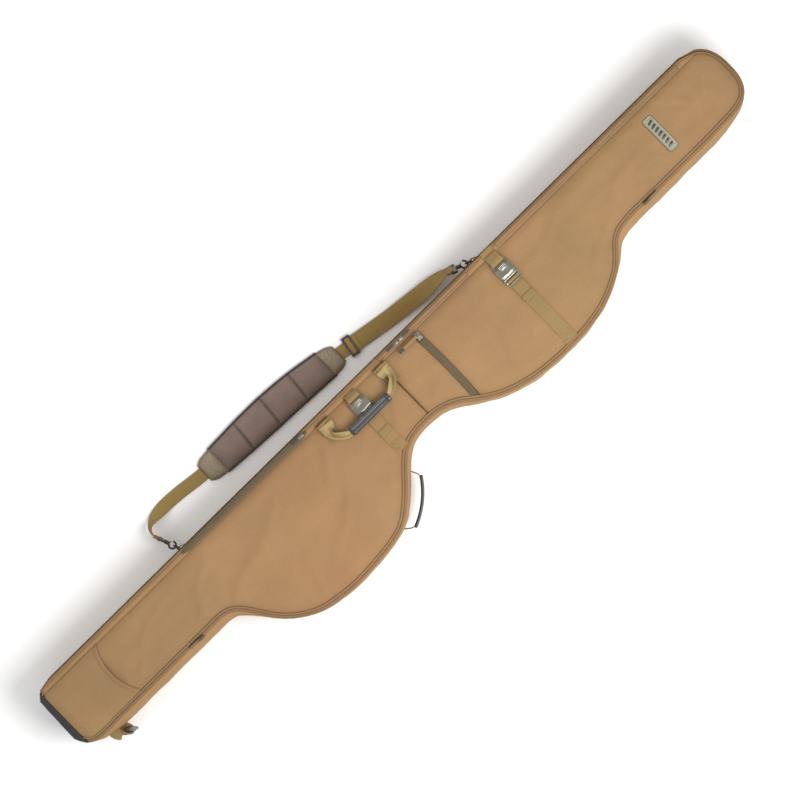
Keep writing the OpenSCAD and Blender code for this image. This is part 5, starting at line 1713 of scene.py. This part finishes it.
rt = Bag()
for x in (-700, -250, 250, 720):
    def tie(pts, w=24.6):
        rt.add(ribbon_data(curve(pts, 5), w, 1.3, side=(1, 0, 0)), 0)
    tie([(x, 55, 9.9), (x, 20, 10.0), (x, -20, 10.1), (x, -55, 9.9)])
    tie([(x, 54.8, 11.0), (x, 46, 11.9), (x, 34, 12.0), (x, 22, 11.8), (x, 14, 12.9)])
    tie([(x, -16, 12.8), (x, -28, 11.8), (x, -44, 12.0), (x, -54.8, 11.0)])
    for yy in (50.0, -50.0):
        rt.add(stitch_data(np.array([(x + a, yy, 12.6) for a in np.linspace(-10, 10, 6)])), 1)
rt.make("rod_tie_loops", ["strapblack", "threaddark"], "tub", replaces=("rod_ties",), slot="lining")


def end_pocket(name, x0, x1, y0, y1, closed_low, node):
    """Sleeve with a rounded back end and a bound mouth."""
    z0, z1, t, r = 9.6, 57.4, 1.9, 13.0
    out = [(y0, z0)]
    for k in range(8):
        a = math.pi - math.pi / 2 * k / 7
        out.append((y0 + r + r * math.cos(a), z1 - r + r * math.sin(a)))
    for k in range(8):
        a = math.pi / 2 - math.pi / 2 * k / 7
        out.append((y1 - r + r * math.cos(a), z1 - r + r * math.sin(a)))
    out.append((y1, z0))
    ri = r - t
    inn = [(y1 - t, z0)]
    for k in range(8):
        a = math.pi / 2 * k / 7
        inn.append((y1 - r + ri * math.cos(a), z1 - r + ri * math.sin(a)))
    for k in range(8):
        a = math.pi / 2 + math.pi / 2 * k / 7
        inn.append((y0 + r + ri * math.cos(a), z1 - r + ri * math.sin(a)))
    inn.append((y0 + t, z0))
    sec = out + inn
    xs = np.linspace(x0, x1, 26)
    vv, ff, uu, mm = [], [], [], []
    for i, x in enumerate(xs):
        f_ = (x - x0) / (x1 - x0)
        back_ = (1 - f_) if closed_low else f_
        for k, (y, z) in enumerate(sec):
            w = 1.0 - 0.22 * max(0.0, back_ - 0.72) ** 1.6 * 3.0
            n_ = noise.fractal(Vector((x / 30.0, y / 40.0, z / 30.0)), 1.0, 2.0, 2)
            zz_ = z0 + (z - z0) * w
            sag = 0.9 * n_ * (1 if z > 30 else 0.2)
            vv.append((x, (y0 + y1) / 2 + (y - (y0 + y1) / 2) * (1 - 0.02 * (1 - w)), zz_ + min(0.0, sag)))
            uu.append((x, y + z))
    ns = len(sec)
    for i in range(len(xs) - 1):
        for k in range(ns):
            a, b_ = i * ns + k, i * ns + (k + 1) % ns
            ff.append((a, a + ns, b_ + ns, b_))
            mm.append(1 if (i > len(xs) - 4 if closed_low else i < 3) else 0)
    # back wall and mouth rim
    lo, hi = list(range(ns)), list(range((len(xs) - 1) * ns, len(xs) * ns))
    h = len(out)
    if closed_low:
        ff.append(tuple(lo[:h]))
        mm.append(0)
        ff.append(tuple(lo[h:]))
        mm.append(0)
    else:
        ff.append(tuple(reversed(hi[:h])))
        mm.append(0)
        ff.append(tuple(reversed(hi[h:])))
        mm.append(0)
    rim = hi if closed_low else lo
    for k in range(h - 1):
        q = (rim[k], rim[k + 1], rim[ns - 2 - k], rim[ns - 1 - k])
        ff.append(q if closed_low else tuple(reversed(q)))
        mm.append(1)
    return make(name, vv, ff, ["lining", "binding"], "tub", uv=uu, face_mat=mm, replaces=(node,), slot="lining")


end_pocket("butt_pocket_cloth", -941.0, -830.5, -62.0, 62.0, True, "butt_pocket")
end_pocket("tip_pocket_cloth", 800.5, 911.0, -58.0, 58.0, False, "tip_pocket")

# ------------------------------------------------------------------ sewing
def row_on_front(path2, lift=0.15):
    return on_front(path2, lift)


sw = Bag()
sp_ = resample(clip_path(lid_edge(12.5), -938.0), 5)
sp_ = np.array([p for p in sp_ if p[1] < 66])
segs, cur = [], [sp_[0]]
for a, b_ in zip(sp_[:-1], sp_[1:]):
    if np.linalg.norm(b_ - a) > 20 or abs(b_[0] - WZ_X) < 12:
        if len(cur) > 3:
            segs.append(np.array(cur))
        cur = []
    cur.append(b_)
if len(cur) > 3:
    segs.append(np.array(cur))
for s_ in segs:
    sw.add(stitch_data(row_on_front(s_, 0.05), pitch=4.2, length=3.0, r=0.38), 0)
for xx in (SEAM_X + 4.5, WZ_X + 13.0, WZ_X - 13.0):
    ys_ = np.arange(edge_y(xx) + 14, 66, 4.0)
    sw.add(stitch_data(row_on_front(np.stack([np.full(len(ys_), xx) if abs(xx - WZ_X) > 14 else waist_zip_x(ys_) + (xx - WZ_X), ys_], 1), 0.05), pitch=4.2, length=3.0, r=0.38), 0)
# double row along the scooped hem of the base pocket
for dm in (7.5, 11.5):
    ys_ = np.linspace(-62, 70, 60)
    q = np.stack([mouth_x(ys_) - dm, ys_], 1)
    sw.add(stitch_data(np.column_stack([q, bp_top(q, np.full(len(q), 20.0)) + 0.12]), pitch=4.0, length=2.9, r=0.4), 0)
sw.make("front_sewing", ["thread"], "lid", slot="canvas_main")
# rows beside the hinge strip
xs_ = np.linspace(-930, 890, 420)
h2 = Bag()
h2.add(stitch_data(np.column_stack([xs_, np.full(len(xs_), 71.9 + 14.6), np.full(len(xs_), 152.5)]), pitch=4.2, length=3.0, r=0.38), 0)
h2.make("hinge_sewing", ["thread"], "lid", slot="canvas_main")


# ------------------------------------------------------------------ floor, light, camera
fm, nt, b = new_mat("floor_pale")
b.inputs["Base Color"].default_value = (0.86, 0.86, 0.855, 1)
b.inputs["Roughness"].default_value = 0.9
me = bpy.data.meshes.new("floor")
s = 14.0
me.from_pydata([(-s, -s, -0.0006), (s, -s, -0.0006), (s, s, -0.0006), (-s, s, -0.0006)], [], [(0, 1, 2, 3)])
me.materials.append(fm)
floor = bpy.data.objects.new("floor", me)
bpy.context.scene.collection.objects.link(floor)

world = bpy.data.worlds.new("studio")
world.use_nodes = True
world.node_tree.nodes["Background"].inputs[0].default_value = (1.0, 1.0, 1.0, 1)
world.node_tree.nodes["Background"].inputs[1].default_value = 0.66
bpy.context.scene.world = world


def area(name, loc, target, size, power, col=(1, 1, 1)):
    l = bpy.data.lights.new(name, "AREA")
    l.shape = "RECTANGLE"
    l.size, l.size_y = size
    l.energy = power
    l.color = col
    o = bpy.data.objects.new(name, l)
    bpy.context.scene.collection.objects.link(o)
    o.location = loc
    o.rotation_euler = (Vector(target) - Vector(loc)).to_track_quat("-Z", "Y").to_euler()
    return o


area("key", (0.35, -1.15, 2.25), (0.05, 0, 0.1), (1.2, 1.2), 62)
area("fill", (-1.4, 1.7, 2.6), (0, 0, 0.1), (2.2, 2.2), 13)
area("top", (0, 0.1, 3.4), (0, 0, 0), (2.6, 2.6), 16)

TILT = math.radians(1.5)
ROT = math.radians(44.55)
cam_d = bpy.data.cameras.new("cam")
cam_d.lens = 100
cam_d.sensor_width = 36
cam_d.clip_end = 60
cam = bpy.data.objects.new("cam", cam_d)
bpy.context.scene.collection.objects.link(cam)
tgt = Vector((-0.002, -0.0095, 0.10))
back_v = Vector((0, -math.sin(TILT), math.cos(TILT)))
dist = 4.648
# the case's +X runs up and to the right in the picture, +Y up and to the left
x_img = Vector((math.cos(ROT), -math.sin(ROT) * math.cos(TILT), -math.sin(ROT) * math.sin(TILT)))
zc = back_v.normalized()
xc = (x_img - zc * x_img.dot(zc)).normalized()
yc = zc.cross(xc)
from mathutils import Matrix
cam.matrix_world = Matrix(((xc.x, yc.x, zc.x, tgt.x + zc.x * dist), (xc.y, yc.y, zc.y, tgt.y + zc.y * dist), (xc.z, yc.z, zc.z, tgt.z + zc.z * dist), (0, 0, 0, 1)))
bpy.context.scene.camera = cam

sc = bpy.context.scene
sc.view_settings.view_transform = "Standard"
